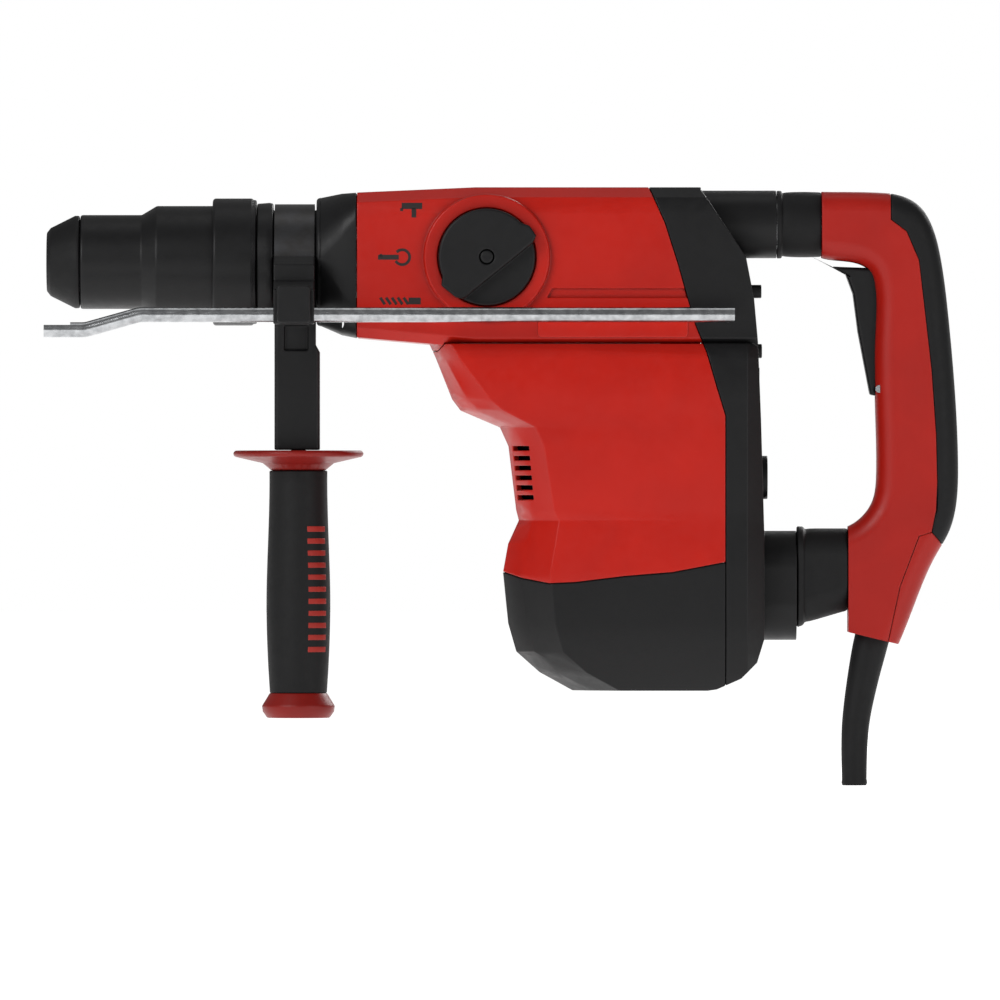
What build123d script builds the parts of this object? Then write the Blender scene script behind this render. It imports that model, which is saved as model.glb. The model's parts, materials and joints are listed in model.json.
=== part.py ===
"""Rotary demolition hammer with a vertical motor, a sprung rear D handle and a side handle.

X runs back along the hammer axis from the mouth of the tool socket, Y across the tool and Z up.
Sizes are in millimetres. The selector knob and the depth rod are on the -Y side.
"""

from build123d import *
from math import acos, atan2, cos, degrees, pi, radians, sin, sqrt, tan
import os

os.makedirs("parts", exist_ok=True)

# ---- driving dimensions -------------------------------------------------------------------
WALL = 3.0  # moulded shells
SEAM = 0.4  # open line between two shells
GAP = 0.3  # between pieces that pass each other
RUN = 0.05  # radial clearance of a running fit
SLIDE_FIT = 0.08  # radial clearance of the reciprocating pieces

# chuck
SOCKET_R = 9.05  # the 18 mm shank with running room
SOCKET_END = 70.0
CAP_LENGTH = 17.5
CAP_MOUTH_R = 15.5
SLEEVE_R = 25.0
SKIRT_R = 29.8
SLEEVE_STEP = 50.5
SLEEVE_END = 89.5
SLEEVE_TRAVEL = 9.0
SPINDLE_R = 15.0
SPINDLE_COLLAR = 72.0
SPINDLE_REAR_R = 19.0
SPINDLE_END = 118.0
ROLLER_R = 2.9
ROLLER_LENGTH = 11.0
ROLLER_X = 39.0
ROLLER_LIFT = 2.0

# nose of the fixed body
RING_FRONT = 88.3
RING_END = 111.7
RING_R = 33.8
NOSE_TUBE_R = 26.0
NOSE_TUBE_FRONT = 70.0
NOSE_BORE_R = 19.4
COLLAR_R = 31.0
STRAP_FRONT = 121.0
STRAP_WIDTH = 21.5
STRAP_SEAT_R = 27.5
STRAP_WALL = 3.2
FLANGE_FRONT = 143.5
FLANGE_R = 34.0
HOOD_FRONT = 165.0

# hammer mechanism, all on the X axis
CYLINDER_END = 248.0
CYLINDER_BORE_R = 15.2
CYLINDER_R = 19.0
ANVIL_BORE_R = 13.0
ANVIL_FRONT = 76.0
ANVIL_LENGTH = 34.0
STRIKER_FRONT = 128.0
STRIKER_LENGTH = 40.0
PISTON_LENGTH = 40.0
CRANK_THROW = 12.0
ROD_LENGTH = 58.0
ROD_THICK = 10.0
CRANK_X = 272.0
CRANK_DISC_R = 18.0
CRANK_DISC_THICK = 8.0
CRANK_PIN_R = 6.0

# gears: teeth and module
CRANK_TEETH, PINION_TEETH, FIRST_MODULE = 48, 8, 1.25
DRIVE_TEETH, CRANK_PINION_TEETH, SECOND_MODULE = 28, 12, 1.5
BEVEL_TEETH, BEVEL_PINION_TEETH, BEVEL_MODULE = 30, 10, 1.8
BEVEL_FACE = 7.0
BEVEL_RIM_R = 29.1
DRIVE_X = CRANK_X - SECOND_MODULE * (DRIVE_TEETH + CRANK_PINION_TEETH) / 2
MOTOR_X = CRANK_X + FIRST_MODULE * (CRANK_TEETH + PINION_TEETH) / 2
BEVEL_R = BEVEL_MODULE * BEVEL_TEETH / 2
BEVEL_PINION_R = BEVEL_MODULE * BEVEL_PINION_TEETH / 2
UPPER_BUSH_TOP = -31.0
UPPER_BUSH_END = -37.0
DRIVE_GEAR_TOP = -39.0
DRIVE_GEAR_END = -46.0
LOWER_BUSH_END = -52.0
CRANK_GEAR_TOP = -55.0
CRANK_GEAR_END = -63.0

# motor
MOTOR_SHAFT_R = 6.0
UPPER_BEARING_TOP = -69.0
BEARING_THICK = 11.0
BEARING_R = 16.0
FAN_TOP = -85.0
FAN_R = 38.0
STACK_TOP = -101.0
STACK_END = -156.0
STATOR_R = 44.0
STATOR_BORE_R = 24.0
CORE_R = 23.2
COMMUTATOR_TOP = -170.0
COMMUTATOR_END = -190.0
COMMUTATOR_R = 15.0
LOWER_BEARING_TOP = -199.0
MOTOR_SHAFT_END = -213.0

# casings
HOOD_HALF = 42.5
HOOD_TOP = 39.2
HOOD_FLOOR = -43.6
SPLIT_X = 360.5
REAR_END = 381.0
BODY_BOTTOM = -227.7
KNOB_X = 234.0
KNOB_Z = 2.0
KNOB_R = 25.5
BEZEL_R = 33.5
BEZEL_PROUD = 4.0
ECCENTRIC = 5.0

HOOD_FULL = 228.0
HOOD_LOW = -46.0
# side view of the body, clockwise from the front of the top
BODY_SIDE = [(150, 60), (347.5, 60), (347.5, 38.0), (371.3, 2.1), (375.6, -20.2), (377.7, -43.6)]
BODY_SIDE += [(379.3, -84.0), (REAR_END, -142.6), (REAR_END, -200.6), (377.2, -212.8), (368.7, -221.3)]
BODY_SIDE += [(355.9, BODY_BOTTOM + 0.7), (351.0, BODY_BOTTOM), (150, BODY_BOTTOM)]
REAR_SEAM = [(311.0, 60.0), (320.0, 39.0), (328.5, 20.0), (335.3, -1.4), (340.0, -18.2), (344.5, -33.5)]
REAR_SEAM += [(350.6, -48.8), (355.9, -67.0), (SPLIT_X, -82.0), (SPLIT_X, -240.0)]
CAP_SEAM = [(230.0, -164.0), (243.5, -165.0), (252.7, -168.1), (267.1, -170.8), (280.9, -170.2)]
CAP_SEAM += [(307.0, -167.0), (332.5, -164.9), (SPLIT_X, -159.6)]
# levels of the motor body: height, front, half width, depth of the front facets
MOTOR_LEVELS = [(-43.8, 203.5, 43.0, 0.45), (-51.5, 207.0, 47.0, 0.5), (-73.0, 215.5, 47.5, 0.8)]
MOTOR_LEVELS += [(-79.0, 220.0, 47.5, 0.9), (-88.0, 241.0, 47.5, 0.75), (-98.0, 245.5, 48.0, 0.75)]
MOTOR_LEVELS += [(-132.0, 249.6, 48.0, 0.8), (-137.5, 251.0, 47.6, 0.85), (-150.0, 245.3, 48.5, 1.0)]
MOTOR_LEVELS += [(-165.0, 242.6, 49.0, 1.0), (-192.0, 245.3, 49.0, 1.0), (-207.0, 249.6, 48.0, 1.0)]
MOTOR_LEVELS += [(-218.0, 262.0, 44.5, 1.0), (BODY_BOTTOM, 279.5, 38.0, 1.0)]
VENTS = 6
VENT_TOP = -98.0
VENT_PITCH = 5.2
VENT_HEIGHT = 2.4

# rear handle
TUBE_Z = 20.0
TUBE_R = 18.0
TUBE_END = 388.0
HANDLE_TOP_X = 412.0
BOSS_END = 398.5
BOSS_Z = -172.0
HANDLE_LOW_X = 426.0
HANDLE_HALF = 18.5
PIVOT_X = 410.0
PIVOT_Z = -164.0
PIVOT_R = 5.0
PLUNGER_R = 5.5
HANDLE_ROUND = 10.0
PAD_THICK = 4.0
TRIGGER_PIVOT = (442.4, -67.6)
TRIGGER_HALF = 9.5
TRIGGER_PIN_R = 2.0
GUARD_TOP_R = 9.3
CORD_BORE_R = 4.6
# side view of the handle: palm side from the bottom up, then finger side from the top down
HANDLE_OUTER = [(452.8, -203.3), (459.6, -186.6), (466.6, -168.6), (473.2, -155.0), (479.3, -144.2), (483.6, -128.0), (484.5, -108.0)]
HANDLE_OUTER += [(483.4, -78.0), (479.3, -28.7), (475.1, 2.7), (470.8, 18.6), (463.5, 30.0)]
HANDLE_OUTER += [(453.0, 35.4), (441.0, 36.8), (426.0, 37.1), (HANDLE_TOP_X, 37.2)]
HANDLE_INNER = [(HANDLE_TOP_X, 2.1), (419.0, 0.8), (430.0, -0.6), (437.4, -4.6), (440.3, -13.0), (440.3, -40.0)]
HANDLE_INNER += [(440.4, -70.0), (441.2, -96.3), (441.2, -114.0), (439.0, -127.5), (433.4, -135.6)]
HANDLE_INNER += [(HANDLE_LOW_X, -140.6)]
PAD_LINE = [(448.5, 60.0), (448.5, 22.3), (456.8, 16.0), (463.4, 0.7), (465.9, -20.7), (470.1, -57.5)]
PAD_LINE += [(472.5, -92.0), (473.1, -117.0), (472.5, -131.9), (470.1, -143.6), (477.0, -151.5)]
GUARD_LINE = [(441.5, -190.0), (437.9, -204.0), (433.9, -222.4), (430.6, -242.0), (429.5, -258.0)]
GUARD_LINE += [(429.5, -279.0)]
GUARD_RADII = [GUARD_TOP_R, GUARD_TOP_R, 8.3, 7.4, 7.0, 6.5]
HANDLE_SCREWS = [(430.0, 26.0), (455.0, -132.0), (437.0, -176.0)]
CASE_SCREWS = [(-28.0, -60.0), (28.0, -60.0), (-34.0, -118.0), (34.0, -118.0)]
SCREW_SEAT = 376.6
# raised pads on the back: where each starts and ends, its height, and its size
REAR_PADS = [(373.0, 380.0, -15.7, 16.0, 7.0), (376.0, 380.2, -47.4, 26.0, 7.4), (378.2, 383.2, -114.6, 30.0, 23.0)]

# side handle
GRIP_X = STRAP_FRONT + STRAP_WIDTH / 2 + 2.0
ARM_HALF = 12.6
ARM_TOP = -34.0
ARM_END = -100.0
GRIP_END = -242.5
GRIP_R = 16.8
ROD_R = 4.0
ROD_Y = -63.5
ROD_Z = -28.7
ROD_REAR = 365.0
ROD_DROP = 8.0
ROD_TEETH = 15


# ---- shared shapes ------------------------------------------------------------------------
def save(piece, label):
    """Label a finished piece and write it as its own file."""
    piece.part.label = label
    export_step(piece.part, f"parts/{label}.step")


def at_x(x, y=0.0, z=0.0):
    """A plane whose normal runs back along the tool."""
    return Plane(origin=(x, y, z), x_dir=(0, 1, 0), z_dir=(1, 0, 0))


def on_side(y):
    """A plane seen from the selector side: local x is X and local y is Z, its normal is -Y."""
    return Plane(origin=(0, y, 0), x_dir=(1, 0, 0), z_dir=(0, -1, 0))


def turned(points):
    """A solid of revolution about the X axis from (x, radius) points."""
    with BuildPart() as piece:
        with BuildSketch(Plane.XY):
            with BuildLine():
                Polyline(*points, close=True)
            make_face()
        revolve(axis=Axis.X)
    return piece


def upright(points, x):
    """A solid of revolution about a vertical axis at x from (radius, z) points."""
    with BuildPart() as piece:
        with BuildSketch(Plane.XZ):
            with BuildLine():
                Polyline(*[(x + r, z) for r, z in points], close=True)
            make_face()
        revolve(axis=Axis((x, 0, 0), (0, 0, 1)))
    return piece


def side_prism(points, half_width):
    """A prism of a side-view outline, as wide each side of the middle plane."""
    with BuildPart() as prism:
        with BuildSketch(Plane.XZ):
            with BuildLine():
                Polyline(*points, close=True)
            make_face()
        extrude(amount=half_width, both=True)
    return prism


def gear_outline(teeth, module, backlash, turn, addendum=0.9, dedendum=1.2):
    """Points of an involute gear, with 20 degree pressure angle, its first tooth at turn degrees."""
    pitch = module * teeth / 2
    base = pitch * cos(radians(20))
    tip = pitch + addendum * module
    root = pitch - dedendum * module
    pitch_roll = tan(radians(20)) - radians(20)
    flank = [max(base, root) + k / 3 * (tip - max(base, root)) for k in range(4)]
    half = []
    for radius in flank:
        angle = acos(min(1.0, base / radius))
        thickness = pi / (2 * teeth) - backlash / (2 * pitch) + pitch_roll - (tan(angle) - angle)
        half.append((radius, thickness))
    half.insert(0, (root, half[0][1] * 1.05))
    points = []
    for tooth in range(teeth):
        centre = radians(turn) + 2 * pi * tooth / teeth
        side = [(r, centre - a) for r, a in half] + [(r, centre + a) for r, a in reversed(half)]
        points += [(r * cos(a), r * sin(a)) for r, a in side]
    return points


def spur_gear(x, top, end, teeth, module, backlash, turn, bore):
    """A spur gear on a vertical axis at x, bored for its shaft."""
    with BuildPart() as gear:
        with BuildSketch(Plane(origin=(x, 0, end))):
            with BuildLine():
                Polyline(*gear_outline(teeth, module, backlash, turn), close=True)
            make_face()
            if bore:
                Circle(bore, mode=Mode.SUBTRACT)
        extrude(amount=top - end)
    return gear


def bevel_outline(teeth, module, lean, tip, root, backlash, turn):
    """Large-end outline of a bevel gear; lean is the cosine of its cone angle."""
    pitch = module * teeth / 2
    half = []
    for height in (-root * module, 0.0, tip * module):
        radius = pitch + height / lean
        half.append((radius, (pi * module / 4 - backlash / 4 - height * tan(radians(20))) / radius))
    points = []
    for tooth in range(teeth):
        centre = radians(turn) + 2 * pi * tooth / teeth
        side = [(r, centre - a) for r, a in half] + [(r, centre + a) for r, a in reversed(half)]
        points += [(r * cos(a), r * sin(a)) for r, a in side]
    return points


def bevel_gear(plane, teeth, module, mate_teeth, face, tip, turn, over=1.0):
    """A straight bevel gear: the plane stands at its large end, and its normal points at the apex."""
    pitch = module * teeth / 2
    mate = module * mate_teeth / 2
    cone = sqrt(pitch**2 + mate**2)
    scale = 1 - face / cone
    outline = bevel_outline(teeth, module, mate / cone, tip, 0.62, 0.7, turn)
    near = [(x * scale, y * scale) for x, y in outline]
    far = [(x * over, y * over) for x, y in outline]
    with BuildPart() as gear:
        with BuildSketch(plane.offset(mate * (1 - over))):
            with BuildLine():
                Polyline(*far, close=True)
            make_face()
        with BuildSketch(plane.offset(mate * (1 - scale))):
            with BuildLine():
                Polyline(*near, close=True)
            make_face()
        loft(ruled=True)
    return gear


def ball_bearing(x, top, thick, bore, outer):
    """A closed ball bearing with shallow seal grooves in both faces."""
    end = top - thick
    mid_a = bore + (outer - bore) * 0.32
    mid_b = bore + (outer - bore) * 0.68
    groove = 0.6
    points = [(bore, top), (mid_a, top), (mid_a, top - groove), (mid_b, top - groove), (mid_b, top)]
    points += [(outer, top), (outer, end), (mid_b, end), (mid_b, end + groove), (mid_a, end + groove)]
    points += [(mid_a, end), (bore, end)]
    return upright(points, x)


# ---- chuck --------------------------------------------------------------------------------
def dust_cap():
    """Rubber nose that keeps dust out of the socket, snapped into a groove of the spindle."""
    lip = SOCKET_R
    outline = [(0, lip), (0, CAP_MOUTH_R), (2.0, CAP_MOUTH_R + 2.6), (15.0, SLEEVE_R - 0.4)]
    outline += [(CAP_LENGTH, SLEEVE_R - 0.4), (CAP_LENGTH, SPINDLE_R), (10.0, SPINDLE_R)]
    outline += [(10.0, SPINDLE_R - 1.5), (7.0, SPINDLE_R - 1.5), (7.0, SPINDLE_R), (4.0, SPINDLE_R)]
    outline += [(4.0, lip)]
    with BuildPart() as cap:
        add(turned(outline).part)
        front = cap.edges().filter_by(GeomType.CIRCLE).sort_by(Axis.X)
        fillet([e for e in front if e.radius > CAP_MOUTH_R - 0.1 and e.center().X < 3], radius=1.2)
    return cap


def tool_spindle():
    """Steel tool holder: socket for the shank, roller slots, collar and the anvil's chamber."""
    outline = [(4.0, SOCKET_R), (4.0, SPINDLE_R), (7.0, SPINDLE_R), (7.0, SPINDLE_R - 1.5)]
    outline += [(10.0, SPINDLE_R - 1.5), (10.0, SPINDLE_R), (SPINDLE_COLLAR, SPINDLE_R)]
    outline += [(SPINDLE_COLLAR, SPINDLE_REAR_R), (SPINDLE_END, SPINDLE_REAR_R)]
    outline += [(SPINDLE_END, ANVIL_BORE_R), (ANVIL_FRONT - 1.0, ANVIL_BORE_R)]
    outline += [(SOCKET_END, SOCKET_R)]
    with BuildPart() as spindle:
        add(turned(outline).part)
        with BuildSketch(Plane.XY):
            with Locations((ROLLER_X, 0)):
                SlotOverall(ROLLER_LENGTH + 2 * GAP, 2 * ROLLER_R + 2 * GAP)
        extrude(amount=SPINDLE_R + 2, both=True, mode=Mode.SUBTRACT)
    return spindle


def lock_roller(side):
    """Pill-shaped locking roller that holds the shank's closed slot."""
    centre = SOCKET_R + GAP + ROLLER_R
    half = ROLLER_LENGTH / 2
    with BuildPart() as roller:
        with BuildSketch(Plane(origin=(ROLLER_X, 0, side * centre), x_dir=(1, 0, 0), z_dir=(0, -1, 0))):
            with BuildLine():
                Line((-half, 0), (half, 0))
                CenterArc((half - ROLLER_R, 0), ROLLER_R, 0, 90)
                Line((half - ROLLER_R, ROLLER_R), (ROLLER_R - half, ROLLER_R))
                CenterArc((ROLLER_R - half, 0), ROLLER_R, 90, 90)
            make_face()
        revolve(axis=Axis((0, 0, side * centre), (1, 0, 0)))
    return roller


def lock_sleeve():
    """Sliding sleeve: pulled back, its inner cone lets the rollers out."""
    seat = SOCKET_R + GAP + 2 * ROLLER_R + GAP  # just outside the locked rollers
    cone_end = ROLLER_X + 2.5
    cone_front = cone_end - 15.0
    outline = [(CAP_LENGTH + SEAM, SPINDLE_R + 1.2), (CAP_LENGTH + SEAM, SLEEVE_R - 0.6)]
    outline += [(CAP_LENGTH + 1.2, SLEEVE_R), (SLEEVE_STEP, SLEEVE_R), (SLEEVE_STEP + 8, SKIRT_R)]
    outline += [(SLEEVE_END, SKIRT_R), (SLEEVE_END, NOSE_TUBE_R + 1.0), (SLEEVE_STEP + 9, NOSE_TUBE_R + 1.0)]
    outline += [(SLEEVE_STEP + 4, SLEEVE_R - 2.5), (cone_end + 7, SLEEVE_R - 2.5)]
    outline += [(cone_end + 7, seat + 0.6), (cone_end, seat + 0.6), (cone_front, SLEEVE_R - 3.0)]
    outline += [(CAP_LENGTH + 3.5, SLEEVE_R - 3.0), (CAP_LENGTH + 3.5, SPINDLE_R + 1.2)]
    with BuildPart() as sleeve:
        add(turned(outline).part)
        rim = sleeve.edges().filter_by(GeomType.CIRCLE)
        fillet([e for e in rim if abs(e.center().X - SLEEVE_STEP) < 0.1 and e.radius > 24], radius=2.0)
    return sleeve


def coil_spring(start, radius, wire, turns, length, direction):
    """A compression spring of round wire."""
    with BuildPart() as spring:
        with BuildLine():
            coil = Helix(length / turns, length, radius, center=start, direction=direction)
        with BuildSketch(Plane(origin=coil @ 0, z_dir=coil % 0)):
            Circle(wire)
        sweep(is_frenet=True)
    return spring


# ---- hammer mechanism ---------------------------------------------------------------------
def beat_piece():
    """Anvil between the striker and the tool's shank."""
    r = ANVIL_BORE_R - SLIDE_FIT
    back = ANVIL_FRONT + ANVIL_LENGTH
    outline = [(SOCKET_END + 0.5, 0), (SOCKET_END + 0.5, SOCKET_R - 0.6), (ANVIL_FRONT - 1, SOCKET_R - 0.6)]
    outline += [(ANVIL_FRONT + 5, r), (back - 8, r), (back - 8, r - 3), (back, r - 4), (back, 0)]
    return turned(outline)


def hammer_cylinder():
    """Steel tube in which the piston and the striker run."""
    outline = [(SPINDLE_END, CYLINDER_BORE_R), (SPINDLE_END, CYLINDER_R), (CYLINDER_END, CYLINDER_R)]
    outline += [(CYLINDER_END, CYLINDER_BORE_R)]
    with BuildPart() as tube:
        add(turned(outline).part)
        with BuildSketch(Plane.XY):
            with Locations((186, 0)):
                Circle(1.5)
        extrude(amount=CYLINDER_R + 2, both=True, mode=Mode.SUBTRACT)
    return tube


def striker():
    """Free-flying ram with its groove for a seal."""
    r = CYLINDER_BORE_R - SLIDE_FIT
    back = STRIKER_FRONT + STRIKER_LENGTH
    outline = [(STRIKER_FRONT - 7, 0), (STRIKER_FRONT - 7, 7), (STRIKER_FRONT - 6, 8), (STRIKER_FRONT, 8)]
    outline += [(STRIKER_FRONT, r), (back - 12, r), (back - 12, r - 2.2), (back - 8.6, r - 2.2)]
    outline += [(back - 8.6, r), (back, r), (back, 6), (back - 10, 6), (back - 10, 0)]
    return turned(outline)


def piston():
    """Cup piston, open at the back for the connecting rod."""
    r = CYLINDER_BORE_R - SLIDE_FIT
    pin_x = CRANK_X + CRANK_THROW - ROD_LENGTH
    back = pin_x + 14
    front = back - PISTON_LENGTH
    outline = [(front, 0), (front, r), (front + 3, r), (front + 3, r - 2.2), (front + 6.4, r - 2.2)]
    outline += [(front + 6.4, r), (back, r), (back, 11.6), (front + 12, 11.6), (front + 12, 0)]
    with BuildPart() as cup:
        add(turned(outline).part)
        with BuildSketch(Plane.XY):
            with Locations((pin_x, 0)):
                Circle(4.0)
        extrude(amount=r + 1, both=True, mode=Mode.SUBTRACT)
    return cup


def wrist_pin():
    """Gudgeon pin across the piston."""
    pin_x = CRANK_X + CRANK_THROW - ROD_LENGTH
    with BuildPart() as pin:
        with BuildSketch(Plane.XY.offset(-(CYLINDER_BORE_R - 2.0))):
            with Locations((pin_x, 0)):
                Circle(4.0)
        extrude(amount=2 * (CYLINDER_BORE_R - 2.0))
    return pin


def connecting_rod():
    """Rod between the wrist pin and the crank pin."""
    big = CRANK_X + CRANK_THROW
    small = big - ROD_LENGTH
    with BuildPart() as rod:
        with BuildSketch(Plane.XY.offset(-ROD_THICK / 2)):
            with Locations((big, 0)):
                Circle(CRANK_PIN_R + 3.2)
            with Locations((small, 0)):
                Circle(4.0 + 3.0)
            with Locations(((big + small) / 2, 0)):
                Rectangle(ROD_LENGTH, 8.0)
            with Locations((big, 0)):
                Circle(CRANK_PIN_R, mode=Mode.SUBTRACT)
            with Locations((small, 0)):
                Circle(4.0 + RUN, mode=Mode.SUBTRACT)
        extrude(amount=ROD_THICK)
        with BuildSketch(Plane.XY.offset(ROD_THICK / 2)):
            with Locations(((big + small) / 2, 0)):
                SlotOverall(ROD_LENGTH - 22, 4.0)
        extrude(amount=-2.5, mode=Mode.SUBTRACT)
    return rod


def crank_pin():
    """Crank pin held in the rod's eye, its foot just clear of the crank disc."""
    top = ROD_THICK / 2 + 2
    foot = -CRANK_DISC_THICK + GAP
    points = [(0, foot), (CRANK_PIN_R, foot), (CRANK_PIN_R, top - 1), (CRANK_PIN_R - 1, top), (0, top)]
    return upright(points, CRANK_X + CRANK_THROW)


def crankshaft():
    """Crank disc, shaft and the small gear cut on it, in one piece."""
    low = -CRANK_DISC_THICK
    pitch_root = SECOND_MODULE * CRANK_PINION_TEETH / 2 - 1.3 * SECOND_MODULE
    points = [(0, low), (CRANK_DISC_R - 1, low), (CRANK_DISC_R, low - 1)]
    points += [(CRANK_DISC_R, low - CRANK_DISC_THICK), (9.0, low - CRANK_DISC_THICK)]
    points += [(9.0, UPPER_BUSH_END - GAP), (pitch_root, UPPER_BUSH_END - GAP)]
    points += [(pitch_root, LOWER_BUSH_END), (6.0, LOWER_BUSH_END), (6.0, CRANK_GEAR_END - 2)]
    points += [(0, CRANK_GEAR_END - 2)]
    cut = spur_gear(
        CRANK_X, DRIVE_GEAR_TOP + 1, DRIVE_GEAR_END - 1, CRANK_PINION_TEETH, SECOND_MODULE, 0.3, 0.0, 0
    )
    with BuildPart() as shaft:
        add(upright(points, CRANK_X).part)
        add(cut.part)
    return shaft


def crank_gear():
    """Large gear driven by the motor, with lightening pockets."""
    turn = 180.0 / CRANK_TEETH * (1 if CRANK_TEETH % 2 == 0 else 0)
    blank = spur_gear(CRANK_X, CRANK_GEAR_TOP, CRANK_GEAR_END, CRANK_TEETH, FIRST_MODULE, 0.25, turn, 6.0)
    with BuildPart() as gear:
        add(blank.part)
        with BuildSketch(Plane.XY.offset(CRANK_GEAR_TOP)):
            with Locations((CRANK_X, 0)):
                with PolarLocations(18.0, 6):
                    Circle(4.5)
        extrude(amount=-3.0, mode=Mode.SUBTRACT)
    return gear


def drive_shaft():
    """Upright shaft with the bevel pinion that turns the cylinder."""
    plane = Plane(origin=(DRIVE_X, 0, -BEVEL_R), z_dir=(0, 0, 1))
    pinion = bevel_gear(
        plane, BEVEL_PINION_TEETH, BEVEL_MODULE, BEVEL_TEETH, BEVEL_FACE, 0.48, 180.0 / BEVEL_PINION_TEETH
    )
    points = [(0, -BEVEL_R), (BEVEL_PINION_R - 1, -BEVEL_R), (BEVEL_PINION_R - 1, UPPER_BUSH_TOP + GAP)]
    points += [(6.0, UPPER_BUSH_TOP + GAP), (6.0, LOWER_BUSH_END), (0, LOWER_BUSH_END)]
    with BuildPart() as shaft:
        add(upright(points, DRIVE_X).part)
        add(pinion.part)
    return shaft


def drive_gear():
    """Gear on the drive shaft, with its overload clutch plate."""
    turn = 180.0 / DRIVE_TEETH
    gear = spur_gear(DRIVE_X, DRIVE_GEAR_TOP, DRIVE_GEAR_END, DRIVE_TEETH, SECOND_MODULE, 0.3, turn, 6.0)
    return gear


def spindle_gear():
    """Bevel ring that turns on the cylinder."""
    back = DRIVE_X - BEVEL_PINION_R
    plane = Plane(origin=(back, 0, 0), x_dir=(0, 1, 0), z_dir=(1, 0, 0))
    blank = bevel_gear(plane, BEVEL_TEETH, BEVEL_MODULE, BEVEL_PINION_TEETH, BEVEL_FACE, 0.38, 90.0, 1.18)
    rim = back - 1.6
    body = [(back - 8, CYLINDER_R), (back - 8, BEVEL_RIM_R - 1), (back - 7, BEVEL_RIM_R), (rim, BEVEL_RIM_R)]
    body += [(rim, BEVEL_RIM_R - 6), (back, BEVEL_RIM_R - 6.2), (back, CYLINDER_R)]
    with BuildPart() as ring:
        add(blank.part)
        with BuildSketch(at_x(back - 10)):
            Circle(BEVEL_RIM_R)
        extrude(amount=30, mode=Mode.INTERSECT)
        with BuildSketch(at_x(back - 10)):
            Circle(CYLINDER_R)
        extrude(amount=30, mode=Mode.SUBTRACT)
        add(turned(body).part)
    return ring


def clutch_sleeve():
    """Sliding dog sleeve that the mode selector moves along the cylinder."""
    front = 190.0
    outline = [(front, CYLINDER_R + RUN), (front, 26.5), (front + 7, 26.5), (front + 7, 23.0)]
    outline += [(front + 12, 23.0), (front + 12, 26.5), (front + 20, 26.5), (front + 20, CYLINDER_R + RUN)]
    return turned(outline)


def shift_plate():
    """Plate that carries the knob's eccentric motion to the clutch sleeve's groove."""
    outer = 30.8
    thick = 1.2
    with BuildPart() as plate:
        with BuildSketch(on_side(-outer + thick)):
            with Locations((218.0, KNOB_Z)):
                RectangleRounded(46.0, 15.5, 2.0)
        extrude(amount=thick)
        with BuildSketch(at_x(198.2)):
            with Locations((-(outer + 23.6) / 2, KNOB_Z)):
                Rectangle(outer - 23.6, 10.0)
        extrude(amount=2.6)
        with BuildSketch(on_side(-outer)):
            with Locations((KNOB_X - ECCENTRIC * 0.7, KNOB_Z - 5.0)):
                SlotOverall(13.0, 5.4, rotation=90)
        extrude(amount=thick + 1, both=True, mode=Mode.SUBTRACT)
    return plate


# ---- selector -----------------------------------------------------------------------------
def knob_plane(y):
    """The selector side's plane with its middle on the knob's axis."""
    return Plane(origin=(KNOB_X, y, KNOB_Z), x_dir=(1, 0, 0), z_dir=(0, -1, 0))


def on_circle(radius, angle):
    """A point at an angle in degrees on a circle round the sketch's middle."""
    return radius * cos(radians(angle)), radius * sin(radians(angle))


def mode_knob():
    """Selector knob: round base, raised half disc with its pointer tab, and shaft with eccentric pin."""
    base = HOOD_HALF + BEZEL_PROUD - 2.0
    with BuildPart() as knob:
        with BuildSketch(on_side(-base)):
            with Locations((KNOB_X, KNOB_Z)):
                Circle(KNOB_R)
        extrude(amount=5.0)
        fillet(knob.faces().sort_by(Axis.Y)[0].edges(), radius=1.0)
        with BuildSketch(knob_plane(-base - 5.0)):
            with BuildLine():
                shoulder = on_circle(KNOB_R, 45)
                heel = on_circle(KNOB_R, 203)
                Line(on_circle(KNOB_R, 17), on_circle(KNOB_R + 3.0, 23))
                Line(on_circle(KNOB_R + 3.0, 23), on_circle(KNOB_R + 2.5, 36))
                Line(on_circle(KNOB_R + 2.5, 36), shoulder)
                ThreePointArc(shoulder, on_circle(KNOB_R, 124), heel)
                Line(heel, on_circle(KNOB_R + 3.0, 212))
                Line(on_circle(KNOB_R + 3.0, 212), on_circle(KNOB_R + 1.5, 232))
                Line(on_circle(KNOB_R + 1.5, 232), on_circle(KNOB_R, 241))
                Line(on_circle(KNOB_R, 241), on_circle(KNOB_R, 17))
            make_face()
        extrude(amount=6.5)
        fillet(knob.faces().sort_by(Axis.Y)[0].edges(), radius=1.2)
        with BuildSketch(on_side(-base - 11.5)):
            with Locations((KNOB_X, KNOB_Z)):
                Circle(4.0)
        extrude(amount=-5.4, mode=Mode.SUBTRACT)
        with BuildSketch(knob_plane(-31.2)):
            Circle(8.0)
        extrude(amount=base - 31.2)
        with BuildSketch(knob_plane(-31.2)):
            with Locations((-ECCENTRIC * 0.7071, -ECCENTRIC * 0.7071)):
                Circle(2.2)
        extrude(amount=-1.6)
    return knob


def knob_button():
    """Release button in the middle of the knob."""
    base = HOOD_HALF + BEZEL_PROUD - 2.0
    with BuildPart() as button:
        with BuildSketch(on_side(-base - 7.6)):
            with Locations((KNOB_X, KNOB_Z)):
                Circle(4.0 - GAP)
        extrude(amount=3.4)
        fillet(button.faces().sort_by(Axis.Y)[0].edges(), radius=1.2)
    return button


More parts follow.
